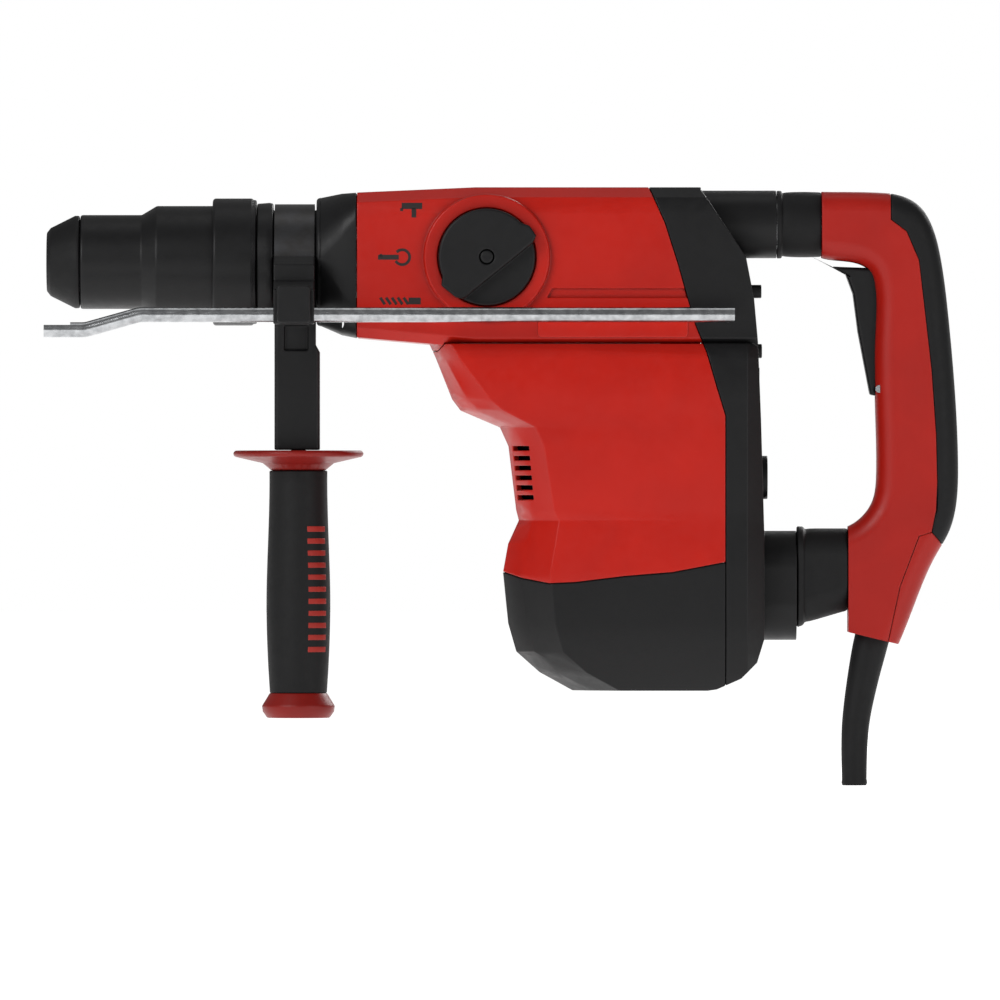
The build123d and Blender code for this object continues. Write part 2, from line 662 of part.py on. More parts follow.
# ---- nose of the fixed body ---------------------------------------------------------------
def nose_ring():
    """Grooved ring behind the lock sleeve, which slides into it."""
    skirt = SKIRT_R + 0.4
    step = RING_FRONT + SLEEVE_TRAVEL + 3.0
    outline = [(RING_FRONT, skirt), (RING_FRONT, RING_R - 1.0), (RING_FRONT + 1.0, RING_R)]
    outline += [(RING_END - 2.4, RING_R), (RING_END - 2.0, RING_R - 0.8), (RING_END - 0.6, RING_R - 0.8)]
    outline += [(RING_END, RING_R - 1.4), (RING_END, NOSE_TUBE_R), (step, NOSE_TUBE_R), (step, skirt)]
    return turned(outline)


def spindle_bearing():
    """Sealed ball bearing of the tool holder, in the nose tube."""
    bore = SPINDLE_REAR_R + RUN
    outline = [(92, bore), (92, 20.5), (92.6, 20.5), (92.6, 22.0), (92, 22.0), (92, 23.4), (104, 23.4)]
    outline += [(104, 22.0), (103.4, 22.0), (103.4, 20.5), (104, 20.5), (104, bore)]
    return turned(outline)


def body_section(x, inset=0.0):
    """Cross-section of the hood at x: half width, top and bottom grow back to the widest station."""
    grown = min(1.0, (x - HOOD_FRONT) / (HOOD_FULL - HOOD_FRONT))
    half = 38.0 + (HOOD_HALF - 38.0) * grown - inset
    top = 36.5 + (HOOD_TOP - 36.5) * grown - inset
    low = -40.4 + (HOOD_LOW + 40.4) * grown + inset
    with BuildSketch(at_x(x)) as section:
        with BuildLine():
            Polyline(
                (-half, low + 5),
                (-half, top - 14),
                (-half + 3, top - 5.5),
                (-half + 11, top),
                (half - 11, top),
                (half - 3, top - 5.5),
                (half, top - 14),
                (half, low + 5),
                (half - 5, low),
                (-half + 5, low),
                close=True,
            )
        make_face()
        upper = [v for v in section.vertices() if v.Z > top - 15]
        fillet(upper, radius=4.0)
    return section.sketch


def front_housing():
    """Black nose casting: bearing tube, seat of the side handle and the cone up to the hood."""
    outline = [(NOSE_TUBE_FRONT, NOSE_BORE_R), (NOSE_TUBE_FRONT, NOSE_TUBE_R)]
    outline += [(RING_END + GAP, NOSE_TUBE_R), (RING_END + GAP, COLLAR_R), (118.6, COLLAR_R + 0.5)]
    outline += [(STRAP_FRONT - 0.5, COLLAR_R), (STRAP_FRONT - 0.5, STRAP_SEAT_R)]
    outline += [(FLANGE_FRONT, STRAP_SEAT_R), (FLANGE_FRONT, FLANGE_R - 1), (FLANGE_FRONT + 1, FLANGE_R)]
    outline += [(150, FLANGE_R), (150, NOSE_BORE_R), (104, NOSE_BORE_R), (104, 23.4), (92, 23.4)]
    outline += [(92, NOSE_BORE_R)]
    back = HOOD_FRONT - SEAM / 2
    with BuildPart() as nose:
        with BuildSketch(at_x(FLANGE_FRONT + 2)):
            RectangleRounded(2 * FLANGE_R, 2 * FLANGE_R, FLANGE_R - 1)
        with BuildSketch(at_x(157, z=-1.4)):
            RectangleRounded(74.5, 75.0, 24)
        with BuildSketch(at_x(back, z=-1.95)):
            RectangleRounded(76.0, 76.9, 16)
        loft(ruled=True)
        with BuildSketch(at_x(150)):
            Circle(NOSE_BORE_R)
        extrude(amount=30, both=True, mode=Mode.SUBTRACT)
        with BuildSketch(at_x(back, z=-1.95)):
            RectangleRounded(68.0, 68.0, 12)
        extrude(amount=-8, mode=Mode.SUBTRACT)
        add(turned(outline).part)
    return nose


# ---- casings ------------------------------------------------------------------------------
def hood_block(inset):
    """Upper body that runs from the nose to the back."""
    with BuildPart() as block:
        add(body_section(HOOD_FRONT - inset, inset))
        add(body_section(HOOD_FULL, inset))
        loft(ruled=True)
        add(body_section(HOOD_FULL, inset))
        extrude(amount=REAR_END + 5 - HOOD_FULL, dir=(1, 0, 0))
    return block


def motor_plan(level, inset):
    """Plan view of the motor body at one level, as a ten-sided outline."""
    z, front, half, facet = level
    x = front + inset
    h = half - inset
    back = REAR_END + 4 - inset
    near = [(x, 0.40 * h), (x + 9.7 * facet, 0.72 * h), (x + 25 * facet, h), (back - 13, h), (back, 0.7 * h)]
    return near + [(a, -b) for a, b in reversed(near)]


def motor_block(inset):
    """Faceted lower body round the upright motor, lofted through its levels."""
    levels = list(MOTOR_LEVELS)
    if inset:
        neck = (levels[0][1] + 2.5, HOOD_HALF - 3.0, levels[0][3])
        levels[:1] = [(-38.0,) + neck, (HOOD_LOW,) + neck]
        levels[-1] = (levels[-1][0] + inset,) + levels[-1][1:]
    with BuildPart() as block:
        for level in levels:
            with BuildSketch(Plane.XY.offset(level[0])):
                with BuildLine():
                    Polyline(*motor_plan(level, inset), close=True)
                make_face()
        loft(ruled=True)
    return block


def body_side(inset):
    """Side view of the whole body, which trims its back and its underside."""
    with BuildPart() as side:
        with BuildSketch(Plane.XZ):
            with BuildLine():
                Polyline(*BODY_SIDE, close=True)
            make_face()
            if inset:
                offset(amount=-inset, kind=Kind.INTERSECTION)
        extrude(amount=80, both=True)
    return side


def body_solid(inset=0.0):
    """The whole body as one solid, or its hollow when it is inset."""
    with BuildPart() as body:
        add(hood_block(inset).part)
        add(motor_block(inset).part)
        add(body_side(inset).part, mode=Mode.INTERSECT)
    return body.part


def seam_line(shift):
    """Line between the red shells and the back cover, moved along X by shift."""
    return [(x + shift, z) for x, z in REAR_SEAM]


def gear_hood():
    """Red hood over the hammer mechanism, with the round bezel of the selector."""
    half = SEAM / 2
    low = HOOD_FLOOR + half
    corner = [(HOOD_FRONT + half, 60), (HOOD_FRONT + half, low - 4), (208, low - 4), (212, low)]
    upper_seam = [(x, z) for x, z in seam_line(-half) if z > low]
    region = corner + [(seam_at(low) - half, low)] + list(reversed(upper_seam))
    with BuildPart() as hood:
        add(OUTER)
        add(side_prism(region, 70).part, mode=Mode.INTERSECT)
        add(INNER, mode=Mode.SUBTRACT)
        with BuildSketch(knob_plane(-HOOD_HALF + WALL)):
            Circle(BEZEL_R)
        extrude(amount=WALL + BEZEL_PROUD - 1.2)
        with BuildSketch(knob_plane(-HOOD_HALF - BEZEL_PROUD + 1.2)):
            Circle(BEZEL_R)
        extrude(amount=1.2, taper=30)
        with BuildSketch(knob_plane(-HOOD_HALF - BEZEL_PROUD)):
            Circle(KNOB_R + 0.7)
        extrude(amount=-2.4, mode=Mode.SUBTRACT)
        with BuildSketch(knob_plane(-HOOD_HALF - BEZEL_PROUD)):
            Circle(8.0 + GAP)
        extrude(amount=-14, mode=Mode.SUBTRACT)
        for side in (-1, 1):
            with BuildSketch(Plane.XZ.offset(side * (HOOD_HALF + 1))):
                with BuildLine():
                    Polyline((268.6, -14.6), (339.0, -14.6), (341.0, -19.4), (266.0, -19.4), close=True)
                make_face()
            extrude(amount=-side * 2.6, mode=Mode.SUBTRACT)
    return hood


def seam_at(z):
    """X of the back cover's seam at a height."""
    for (x0, z0), (x1, z1) in zip(REAR_SEAM, REAR_SEAM[1:]):
        if z0 >= z >= z1:
            return x0 + (x1 - x0) * (z0 - z) / (z0 - z1)
    return REAR_SEAM[-1][0]


def motor_housing():
    """Red middle shell round the motor, with air slots in its two front facets."""
    half = SEAM / 2
    top = HOOD_FLOOR - half
    region = [(160, top - 4), (208, top - 4), (212, top), (seam_at(top) - half, top)]
    region += [(x, z) for x, z in seam_line(-half) if z < top and z > CAP_SEAM[-1][1]]
    region += [(REAR_SEAM[-1][0] - half, CAP_SEAM[-1][1] + half)]
    region += [(x, z + half) for x, z in reversed(CAP_SEAM[:-1])]
    with BuildPart() as shell:
        add(OUTER)
        add(side_prism(region, 70).part, mode=Mode.INTERSECT)
        add(INNER, mode=Mode.SUBTRACT)
        for side in (-1, 1):
            for k in range(VENTS):
                z = VENT_TOP - k * VENT_PITCH
                with BuildSketch(Plane.XY.offset(z)):
                    with Locations(Location((254.5, side * 29.5, 0), (0, 0, side * 57))):
                        Rectangle(17, 12)
                extrude(amount=-VENT_HEIGHT, mode=Mode.SUBTRACT)
    return shell


def bottom_cap():
    """Black cap under the motor, with the seat of the lower bearing."""
    half = SEAM / 2
    region = [(x, z - half) for x, z in CAP_SEAM[:-1]]
    region += [(REAR_SEAM[-1][0] - half, CAP_SEAM[-1][1] - half), (REAR_SEAM[-1][0] - half, -250), (230, -250)]
    with BuildPart() as cap:
        add(OUTER)
        add(side_prism(region, 70).part, mode=Mode.INTERSECT)
        add(INNER, mode=Mode.SUBTRACT)
        with BuildSketch(Plane(origin=(MOTOR_X, 0, BODY_BOTTOM + 1))):
            Circle(15.0)
        extrude(amount=LOWER_BEARING_TOP - BODY_BOTTOM - 1)
        with BuildSketch(Plane(origin=(MOTOR_X, 0, LOWER_BEARING_TOP - BEARING_THICK))):
            Circle(12.0)
        extrude(amount=BEARING_THICK + 1, mode=Mode.SUBTRACT)
        with BuildSketch(Plane(origin=(MOTOR_X, 0, MOTOR_SHAFT_END - 1))):
            Circle(8.0)
        extrude(amount=10, mode=Mode.SUBTRACT)
    return cap


def rear_cover():
    """Black back cover with the tube of the damper above and the boss of the handle's pivot below."""
    region = [(380 + 30, 60), (380 + 30, -250), (REAR_SEAM[-1][0] + SEAM / 2, -250)]
    region += list(reversed(seam_line(SEAM / 2)))
    with BuildPart() as cover:
        add(OUTER)
        add(side_prism(region, 70).part, mode=Mode.INTERSECT)
        with BuildSketch(at_x(348, z=TUBE_Z)):
            Circle(TUBE_R)
        extrude(amount=TUBE_END - 348)
        with BuildSketch(at_x(370, z=BOSS_Z)):
            RectangleRounded(50, 58, 20)
        extrude(amount=BOSS_END - 370)
        add(INNER, mode=Mode.SUBTRACT)
        with BuildSketch(at_x(340, z=TUBE_Z)):
            Circle(TUBE_R - WALL)
        extrude(amount=80, mode=Mode.SUBTRACT)
        with BuildSketch(at_x(366, z=BOSS_Z)):
            RectangleRounded(42, 50, 16)
        extrude(amount=BOSS_END - WALL - 366, mode=Mode.SUBTRACT)
        with BuildSketch(at_x(BOSS_END - 1, z=PIVOT_Z)):
            Rectangle(15, 26)
        extrude(amount=PIVOT_X - BOSS_END + 1)
        with BuildSketch(Plane.XZ.offset(-7.5)):
            with Locations((PIVOT_X, PIVOT_Z)):
                Circle(13)
        extrude(amount=15)
        with BuildSketch(Plane.XZ.offset(-9)):
            with Locations((PIVOT_X, PIVOT_Z)):
                Circle(PIVOT_R + RUN)
        extrude(amount=18, mode=Mode.SUBTRACT)
        with BuildSketch(at_x(364, z=TUBE_Z)):
            Circle(TUBE_R - WALL)
            Circle(PLUNGER_R + 3.5, mode=Mode.SUBTRACT)
        extrude(amount=3)
        for start, end, z, wide, high in REAR_PADS:
            with BuildSketch(at_x(start, z=z)):
                RectangleRounded(wide, high, high / 2 - 0.6)
            extrude(amount=end - start)
        for y, z in CASE_SCREWS:
            with BuildSketch(at_x(SCREW_SEAT - 0.6, y, z)):
                Circle(3.8)
            extrude(amount=10, mode=Mode.SUBTRACT)
            with BuildSketch(at_x(SCREW_SEAT - 20, y, z)):
                Circle(2.0)
            extrude(amount=30, mode=Mode.SUBTRACT)
    return cover


def gear_case():
    """Metal frame inside the hood that holds the shafts, the cylinder and the motor's upper bearing."""
    outline = [(178, 32), (326, 32), (326, -82), (237, -82), (237, -53), (216, -53), (216, -36), (178, -36)]
    hollow = [(186, 29.2), (323, 29.2), (323, -66.5), (240, -66.5), (240, -50), (219, -50), (219, -33)]
    with BuildPart() as cavity:
        add(side_prism(hollow + [(186, -33)], 31.7).part)
        add(body_solid(2 * WALL + 0.5), mode=Mode.INTERSECT)
    with BuildPart() as case:
        add(side_prism(outline, 34.8).part)
        add(body_solid(WALL + 0.6), mode=Mode.INTERSECT)
        add(cavity.part, mode=Mode.SUBTRACT)
        with BuildSketch(Plane.XY.offset(UPPER_BUSH_END)):
            with Locations((258, 0)):
                Rectangle(78, 64)
        extrude(amount=UPPER_BUSH_TOP - UPPER_BUSH_END)
        with BuildSketch(Plane.XY.offset(LOWER_BUSH_END)):
            with Locations((255, 0)):
                Rectangle(78, 64)
        extrude(amount=4.5)
        add(body_solid(WALL + 0.6), mode=Mode.INTERSECT)
        with BuildSketch(Plane.XY.offset(-90)):
            with Locations((CRANK_X, 0)):
                Circle(9.0 + RUN)
        extrude(amount=90 - 36.9 + 8, mode=Mode.SUBTRACT)
        with BuildSketch(Plane.XY.offset(-60)):
            with Locations((DRIVE_X, 0)):
                Circle(6.0 + RUN)
        extrude(amount=40, mode=Mode.SUBTRACT)
        with BuildSketch(Plane.XY.offset(-90)):
            with Locations((MOTOR_X, 0)):
                Circle(BEARING_R)
        extrude(amount=90 + UPPER_BEARING_TOP, mode=Mode.SUBTRACT)
        with BuildSketch(Plane.XY.offset(-70)):
            with Locations((MOTOR_X, 0)):
                Circle(MOTOR_SHAFT_R + 3)
        extrude(amount=10, mode=Mode.SUBTRACT)
        with BuildSketch(at_x(170)):
            Circle(CYLINDER_R + 0.5)
        extrude(amount=20, mode=Mode.SUBTRACT)
        with BuildSketch(knob_plane(-40)):
            Circle(8.0 + GAP)
        extrude(amount=-9, mode=Mode.SUBTRACT)
    return case


# ---- motor --------------------------------------------------------------------------------
def armature_shaft():
    """Motor shaft with the pinion cut on its top end."""
    pinion = spur_gear(
        MOTOR_X, CRANK_GEAR_TOP + 1, CRANK_GEAR_END - 1, PINION_TEETH, FIRST_MODULE, 0.25, 0.0, 0
    )
    points = [(0, CRANK_GEAR_TOP - 1), (3.4, CRANK_GEAR_TOP - 1), (3.4, CRANK_GEAR_END - 1)]
    points += [(MOTOR_SHAFT_R, CRANK_GEAR_END - 1), (MOTOR_SHAFT_R, COMMUTATOR_END - 3)]
    points += [(5.0, COMMUTATOR_END - 3), (5.0, MOTOR_SHAFT_END), (0, MOTOR_SHAFT_END)]
    with BuildPart() as shaft:
        add(upright(points, MOTOR_X).part)
        add(pinion.part)
    return shaft


def armature_core():
    """Slotted laminations of the rotor."""
    with BuildPart() as core:
        with BuildSketch(Plane.XY.offset(STACK_END)):
            with Locations((MOTOR_X, 0)):
                Circle(CORE_R)
                Circle(MOTOR_SHAFT_R, mode=Mode.SUBTRACT)
                with PolarLocations(CORE_R, 12):
                    Rectangle(9.0, 2.4, mode=Mode.SUBTRACT)
        extrude(amount=STACK_TOP - STACK_END)
    return core


def commutator():
    """Commutator on its insulating bush."""
    with BuildPart() as drum:
        with BuildSketch(Plane.XY.offset(COMMUTATOR_END)):
            with Locations((MOTOR_X, 0)):
                Circle(COMMUTATOR_R)
                Circle(MOTOR_SHAFT_R, mode=Mode.SUBTRACT)
                with PolarLocations(COMMUTATOR_R, 24):
                    Rectangle(3.0, 0.6, mode=Mode.SUBTRACT)
        extrude(amount=COMMUTATOR_TOP - COMMUTATOR_END)
    return drum


def cooling_fan():
    """Bladed fan between the motor and the gear frame."""
    with BuildPart() as fan:
        with BuildSketch(Plane.XY.offset(FAN_TOP - 10)):
            with Locations((MOTOR_X, 0)):
                Circle(FAN_R)
                Circle(MOTOR_SHAFT_R, mode=Mode.SUBTRACT)
        extrude(amount=2.0)
        with BuildSketch(Plane.XY.offset(FAN_TOP - 10)):
            with Locations((MOTOR_X, 0)):
                Circle(12.0)
                Circle(MOTOR_SHAFT_R, mode=Mode.SUBTRACT)
                with PolarLocations(23.5, 11):
                    Rectangle(27.0, 1.6)
        extrude(amount=10.0)
    return fan


def stator():
    """Laminated stator with two pole pieces round the rotor."""
    with BuildPart() as stack:
        with BuildSketch(Plane.XY.offset(STACK_END)):
            with Locations((MOTOR_X, 0)):
                Circle(STATOR_R)
                Circle(STATOR_R - 8, mode=Mode.SUBTRACT)
                Rectangle(2 * STATOR_R - 4, 30)
                Circle(STATOR_BORE_R, mode=Mode.SUBTRACT)
        extrude(amount=STACK_TOP - STACK_END)
    return stack


def field_coils():
    """Copper end turns above and below the stator."""
    with BuildPart() as coils:
        for low, high in ((STACK_TOP, STACK_TOP + 4), (STACK_END - 8, STACK_END)):
            with BuildSketch(Plane.XY.offset(low)):
                with Locations((MOTOR_X, 0)):
                    Circle(STATOR_R - 9)
                    Circle(STATOR_BORE_R + 1.5, mode=Mode.SUBTRACT)
            extrude(amount=high - low)
    return coils


def brush_boxes(inner, outer, across, tall):
    """Two boxes that face each other across the commutator."""
    middle = (COMMUTATOR_TOP + COMMUTATOR_END) / 2
    with BuildPart() as pair:
        for side in (-1, 1):
            with Locations((MOTOR_X, side * (inner + outer) / 2, middle)):
                Box(across, outer - inner, tall)
    return pair


def brush_holders():
    """Brass boxes that guide the brushes."""
    with BuildPart() as holders:
        add(brush_boxes(COMMUTATOR_R + 2.5, 40.0, 12.0, 11.0).part)
        add(brush_boxes(COMMUTATOR_R + 2.0, 30.0, 8.0, 7.0).part, mode=Mode.SUBTRACT)
    return holders


def shaft_bearings():
    """Ball bearings of the tool holder and of both ends of the motor shaft."""
    with BuildPart() as bearings:
        add(spindle_bearing().part)
        add(ball_bearing(MOTOR_X, UPPER_BEARING_TOP, BEARING_THICK, MOTOR_SHAFT_R + RUN, BEARING_R).part)
        add(ball_bearing(MOTOR_X, LOWER_BEARING_TOP, BEARING_THICK, 5.0 + RUN, 12.0).part)
    return bearings


def speed_module():
    """Electronics box beside the motor."""
    with BuildPart() as module:
        with BuildSketch(Plane.XY.offset(-150)):
            with Locations((365, 0)):
                RectangleRounded(18, 56, 3)
        extrude(amount=46)
        fillet(module.faces().sort_by(Axis.Z)[-1].edges(), radius=1.5)
    return module


def case_screws():
    """Four screws that hold the back cover."""
    with BuildPart() as screws:
        for y, z in CASE_SCREWS:
            with BuildSketch(at_x(SCREW_SEAT, y, z)):
                Circle(3.6)
                RegularPolygon(1.7, 6, mode=Mode.SUBTRACT)
            extrude(amount=2.0)
            with BuildSketch(at_x(SCREW_SEAT - 0.6, y, z)):
                Circle(3.6)
            extrude(amount=0.6)
            with BuildSketch(at_x(SCREW_SEAT - 14, y, z)):
                Circle(2.0)
            extrude(amount=14)
    return screws


# ---- rear handle --------------------------------------------------------------------------
def moved_in(points, inset):
    """Points of a curve moved to its left-hand side by inset."""
    moved = []
    for k, (x, z) in enumerate(points):
        x0, z0 = points[max(0, k - 1)]
        x1, z1 = points[min(len(points) - 1, k + 1)]
        size = sqrt((x1 - x0) ** 2 + (z1 - z0) ** 2)
        moved.append((x - inset * (z1 - z0) / size, z + inset * (x1 - x0) / size))
    return moved


def handle_outline(inset):
    """Side view of the rear handle as a sketch."""
    palm = moved_in(HANDLE_OUTER, inset)
    fingers = moved_in(HANDLE_INNER, inset)
    palm[0] = (HANDLE_OUTER[0][0] - 1.2 * inset, HANDLE_OUTER[0][1] + 1.3 * inset)
    palm[-1] = (HANDLE_TOP_X + inset, palm[-1][1])
    fingers[0] = (HANDLE_TOP_X + inset, fingers[0][1])
    fingers[-1] = (HANDLE_LOW_X + inset, HANDLE_INNER[-1][1] - 1.3 * inset)
    with BuildSketch(Plane.XZ) as side:
        with BuildLine():
            Polyline(fingers[-1], (HANDLE_LOW_X + inset, -196.8 + inset), palm[0])
            Spline(*palm)
            Line(palm[-1], fingers[0])
            Spline(*fingers)
        make_face()
    return side.sketch


def handle_block(inset, half, radius):
    """The rear handle as one solid with rounded long edges."""
    with BuildPart() as block:
        add(handle_outline(inset))
        extrude(amount=half, both=True, dir=(0, 1, 0))
        rims = [f for f in block.faces() if abs(abs(f.center().Y) - half) < 0.01]
        edges = [e for f in rims for e in f.edges() if e.length > 60]
        if radius:
            fillet(edges, radius=radius)
    return block.part


def handle_front_shell():
    """Red shell of the rear handle: both arms and the finger side of the grip."""
    pad_side = PAD_LINE[:-1] + [(463.4, -145.8), (453.3, -172.4), (446.5, -204.0)]
    keep = [(395, 60), (395, -230), (446.5, -230)] + list(reversed(pad_side))
    hollow = [(x - 3.0, z) for x, z in keep]
    with BuildPart() as cavity:
        add(handle_block(3.4, HANDLE_HALF - 3.4, 0))
        add(side_prism(hollow, 40).part, mode=Mode.INTERSECT)
    with BuildPart() as shell:
        add(HANDLE)
        add(side_prism(keep, 40).part, mode=Mode.INTERSECT)
        add(cavity.part, mode=Mode.SUBTRACT)
        for side in (-1, 1):
            with BuildSketch(Plane.XZ.offset(side * 7.8)):
                with Locations((PIVOT_X, PIVOT_Z)):
                    Circle(9.5)
                with Locations((PIVOT_X + 11, PIVOT_Z)):
                    Rectangle(22, 19)
            extrude(amount=side * 5.2)
        with BuildSketch(Plane.XZ.offset(-15)):
            with Locations((PIVOT_X, PIVOT_Z)):
                Circle(PIVOT_R)
        extrude(amount=30, mode=Mode.SUBTRACT)
        with BuildSketch(Plane.XZ.offset(-HANDLE_HALF + 3.4)):
            with Locations(TRIGGER_PIVOT):
                Circle(TRIGGER_PIN_R)
        extrude(amount=2 * HANDLE_HALF - 6.8, mode=Mode.SUBTRACT)
        with BuildSketch(at_x(HANDLE_TOP_X - 1, z=TUBE_Z)):
            Circle(PLUNGER_R)
        extrude(amount=6, mode=Mode.SUBTRACT)
        with Locations((430, 0, -33.5)):
            Box(40, 2 * TRIGGER_HALF + 1.0, 79, mode=Mode.SUBTRACT)
        add(guard_bore(GUARD_TOP_R + 0.2).part, mode=Mode.SUBTRACT)
        for x, z in HANDLE_SCREWS:
            with BuildSketch(Plane.XZ.offset(-HANDLE_HALF - 1)):
                with Locations((x, z)):
                    Circle(3.4)
            extrude(amount=2.8, mode=Mode.SUBTRACT)
            with BuildSketch(Plane.XZ.offset(-HANDLE_HALF - 1)):
                with Locations((x, z)):
                    Circle(1.8)
            extrude(amount=8, mode=Mode.SUBTRACT)
    return shell


def guard_bore(radius):
    """Straight passage for the cord's sleeve through the handle's lower end."""
    (x0, z0), (x1, z1) = GUARD_LINE[0], GUARD_LINE[1]
    run = Vector(x1 - x0, 0, z1 - z0)
    with BuildPart() as passage:
        with BuildSketch(Plane(origin=(x0, 0, z0), z_dir=run)):
            Circle(radius)
        extrude(amount=run.length)
    return passage


def handle_rear_shell():
    """Red back shell of the grip, mostly under the pad."""
    line = [(x + 0.2, z) for x, z in PAD_LINE]
    low = [(463.6, -145.8), (453.5, -172.4), (446.7, -204.0), (446.7, -230), (500, -230), (500, -154.0)]
    with BuildPart() as skin:
        add(handle_block(PAD_THICK, HANDLE_HALF - PAD_THICK, 4.0))
        add(side_prism(line[:-1] + [(466.0, -152.0), (500, -164.0), (500, 60)], 40).part, mode=Mode.INTERSECT)
    with BuildPart() as shell:
        add(HANDLE)
        add(side_prism([PAD_LINE[-2], *low, PAD_LINE[-1]], 40).part, mode=Mode.INTERSECT)
        add(skin.part)
        add(guard_bore(GUARD_TOP_R + 0.2).part, mode=Mode.SUBTRACT)
    return shell


def handle_pad():
    """Rubber pad over the palm side of the grip."""
    line = [(x + 0.2, z) for x, z in PAD_LINE]
    with BuildPart() as pad:
        add(HANDLE)
        add(side_prism(line + [(500, -153.8), (500, 60)], 40).part, mode=Mode.INTERSECT)
        add(handle_block(PAD_THICK, HANDLE_HALF - PAD_THICK, 4.0), mode=Mode.SUBTRACT)
    return pad


def trigger():
    """Finger trigger that turns on the pin at its lower end."""
    outline = [(417.5, -2.6), (424.6, -6.2), (428.6, -17.0), (431.2, -37.0), (435.4, -59.0)]
    outline += [(437.6, -70.6), (443.0, -71.6), (446.6, -67.5), (444.0, -60.0), (443.0, -8.0), (438.0, -3.2)]
    with BuildPart() as lever:
        add(side_prism(outline, TRIGGER_HALF).part)
        front = lever.edges().filter_by(lambda e: e.center().X < 436 and abs(e.center().Y) > 5)
        fillet([e for e in front if e.length > 8], radius=2.0)
        with BuildSketch(Plane.XZ.offset(-20)):
            with Locations(TRIGGER_PIVOT):
                Circle(TRIGGER_PIN_R + RUN)
        extrude(amount=40, mode=Mode.SUBTRACT)
    return lever


def handle_pins():
    """Steel pins of the rear handle's pivot and of the trigger."""
    half = HANDLE_HALF - 3.4
    with BuildPart() as pins:
        for (x, z), radius, reach in (((PIVOT_X, PIVOT_Z), PIVOT_R, 13.0), (TRIGGER_PIVOT, TRIGGER_PIN_R, half)):
            with BuildSketch(Plane.XZ.offset(-reach)):
                with Locations((x, z)):
                    Circle(radius)
            extrude(amount=2 * reach)
    return pins


def power_switch():
    """Switch block in the grip below the trigger."""
    with BuildPart() as switch:
        with BuildSketch(Plane.XY.offset(-120)):
            with Locations((455.5, 0)):
                RectangleRounded(19, 18, 1.5)
        extrude(amount=36)
    return switch


def damper_plunger():
    """Plunger of the rear handle, its collar against the damper spring."""
    with BuildPart() as plunger:
        with BuildSketch(at_x(358, z=TUBE_Z)):
            Circle(PLUNGER_R)
        extrude(amount=HANDLE_TOP_X + 4 - 358)
        with BuildSketch(at_x(387.5, z=TUBE_Z)):
            Circle(13.0)
        extrude(amount=3)
    return plunger


def upper_bellows():
    """Rubber bellows between the damper tube and the handle."""
    front = TUBE_END + 0.2
    back = HANDLE_TOP_X - 0.2
    folds = 5
    pitch = (back - front) / folds
    outer = [(front, TUBE_R)]
    inner = [(front, TUBE_R - 2.2)]
    for k in range(folds):
        outer += [(front + (k + 0.3) * pitch, TUBE_R), (front + (k + 0.65) * pitch, TUBE_R - 1.8)]
        inner += [(front + (k + 0.3) * pitch, TUBE_R - 2.2), (front + (k + 0.65) * pitch, TUBE_R - 4.0)]
    outer.append((back, TUBE_R))
    inner.append((back, TUBE_R - 2.2))
    with BuildPart() as sleeve:
        with BuildSketch(Plane.XZ):
            with BuildLine():
                Polyline(*[(x, TUBE_Z + r) for x, r in outer + list(reversed(inner))], close=True)
            make_face()
        revolve(axis=Axis((0, 0, TUBE_Z), (1, 0, 0)))
    return sleeve


def bellows_wall(inset):
    """Solid of the lower bellows through its folds, smaller by inset."""
    front = BOSS_END + 0.2
    back = HANDLE_LOW_X - 0.1
    folds = 5
    with BuildPart() as wall:
        for k in range(2 * folds + 1):
            along = k / (2 * folds)
            dip = inset + (1.6 if k % 2 else 0.0)
            middle = -167.4 + 3.9 * along
            with BuildSketch(at_x(front + (back - front) * along, z=middle)):
                RectangleRounded(46 - 9 * along - 2 * dip, 53.6 - 9.2 * along - 2 * dip, 15 - dip)
        loft(ruled=True)
    return wall


def lower_bellows():
    """Rubber bellows round the handle's pivot."""
    with BuildPart() as sleeve:
        add(bellows_wall(0.0).part)
        add(bellows_wall(2.2).part, mode=Mode.SUBTRACT)
    return sleeve


def handle_screws():
    """Screws that close the handle, on the side away from the selector."""
    with BuildPart() as screws:
        for x, z in HANDLE_SCREWS:
            with BuildSketch(Plane.XZ.offset(-HANDLE_HALF + 1.8)):
                with Locations((x, z)):
                    Circle(3.1)
            extrude(amount=-1.5)
            with BuildSketch(Plane.XZ.offset(-HANDLE_HALF + 1.8)):
                with Locations((x, z)):
                    Circle(1.7)
            extrude(amount=9)
    return screws


def guard_section(k, radius):
    """A circle across the cord sleeve's line at its station k."""
    before = GUARD_LINE[max(0, k - 1)]
    after = GUARD_LINE[min(len(GUARD_LINE) - 1, k + 1)]
    run = (after[0] - before[0], 0, after[1] - before[1])
    if k < 2:
        run = (GUARD_LINE[1][0] - GUARD_LINE[0][0], 0, GUARD_LINE[1][1] - GUARD_LINE[0][1])
    if k >= len(GUARD_LINE) - 2:
        run = (0, 0, -1)
    x, z = GUARD_LINE[k]
    with BuildSketch(Plane(origin=(x, 0, z), x_dir=(0, 1, 0), z_dir=run)) as section:
        Circle(radius)
    return section.sketch


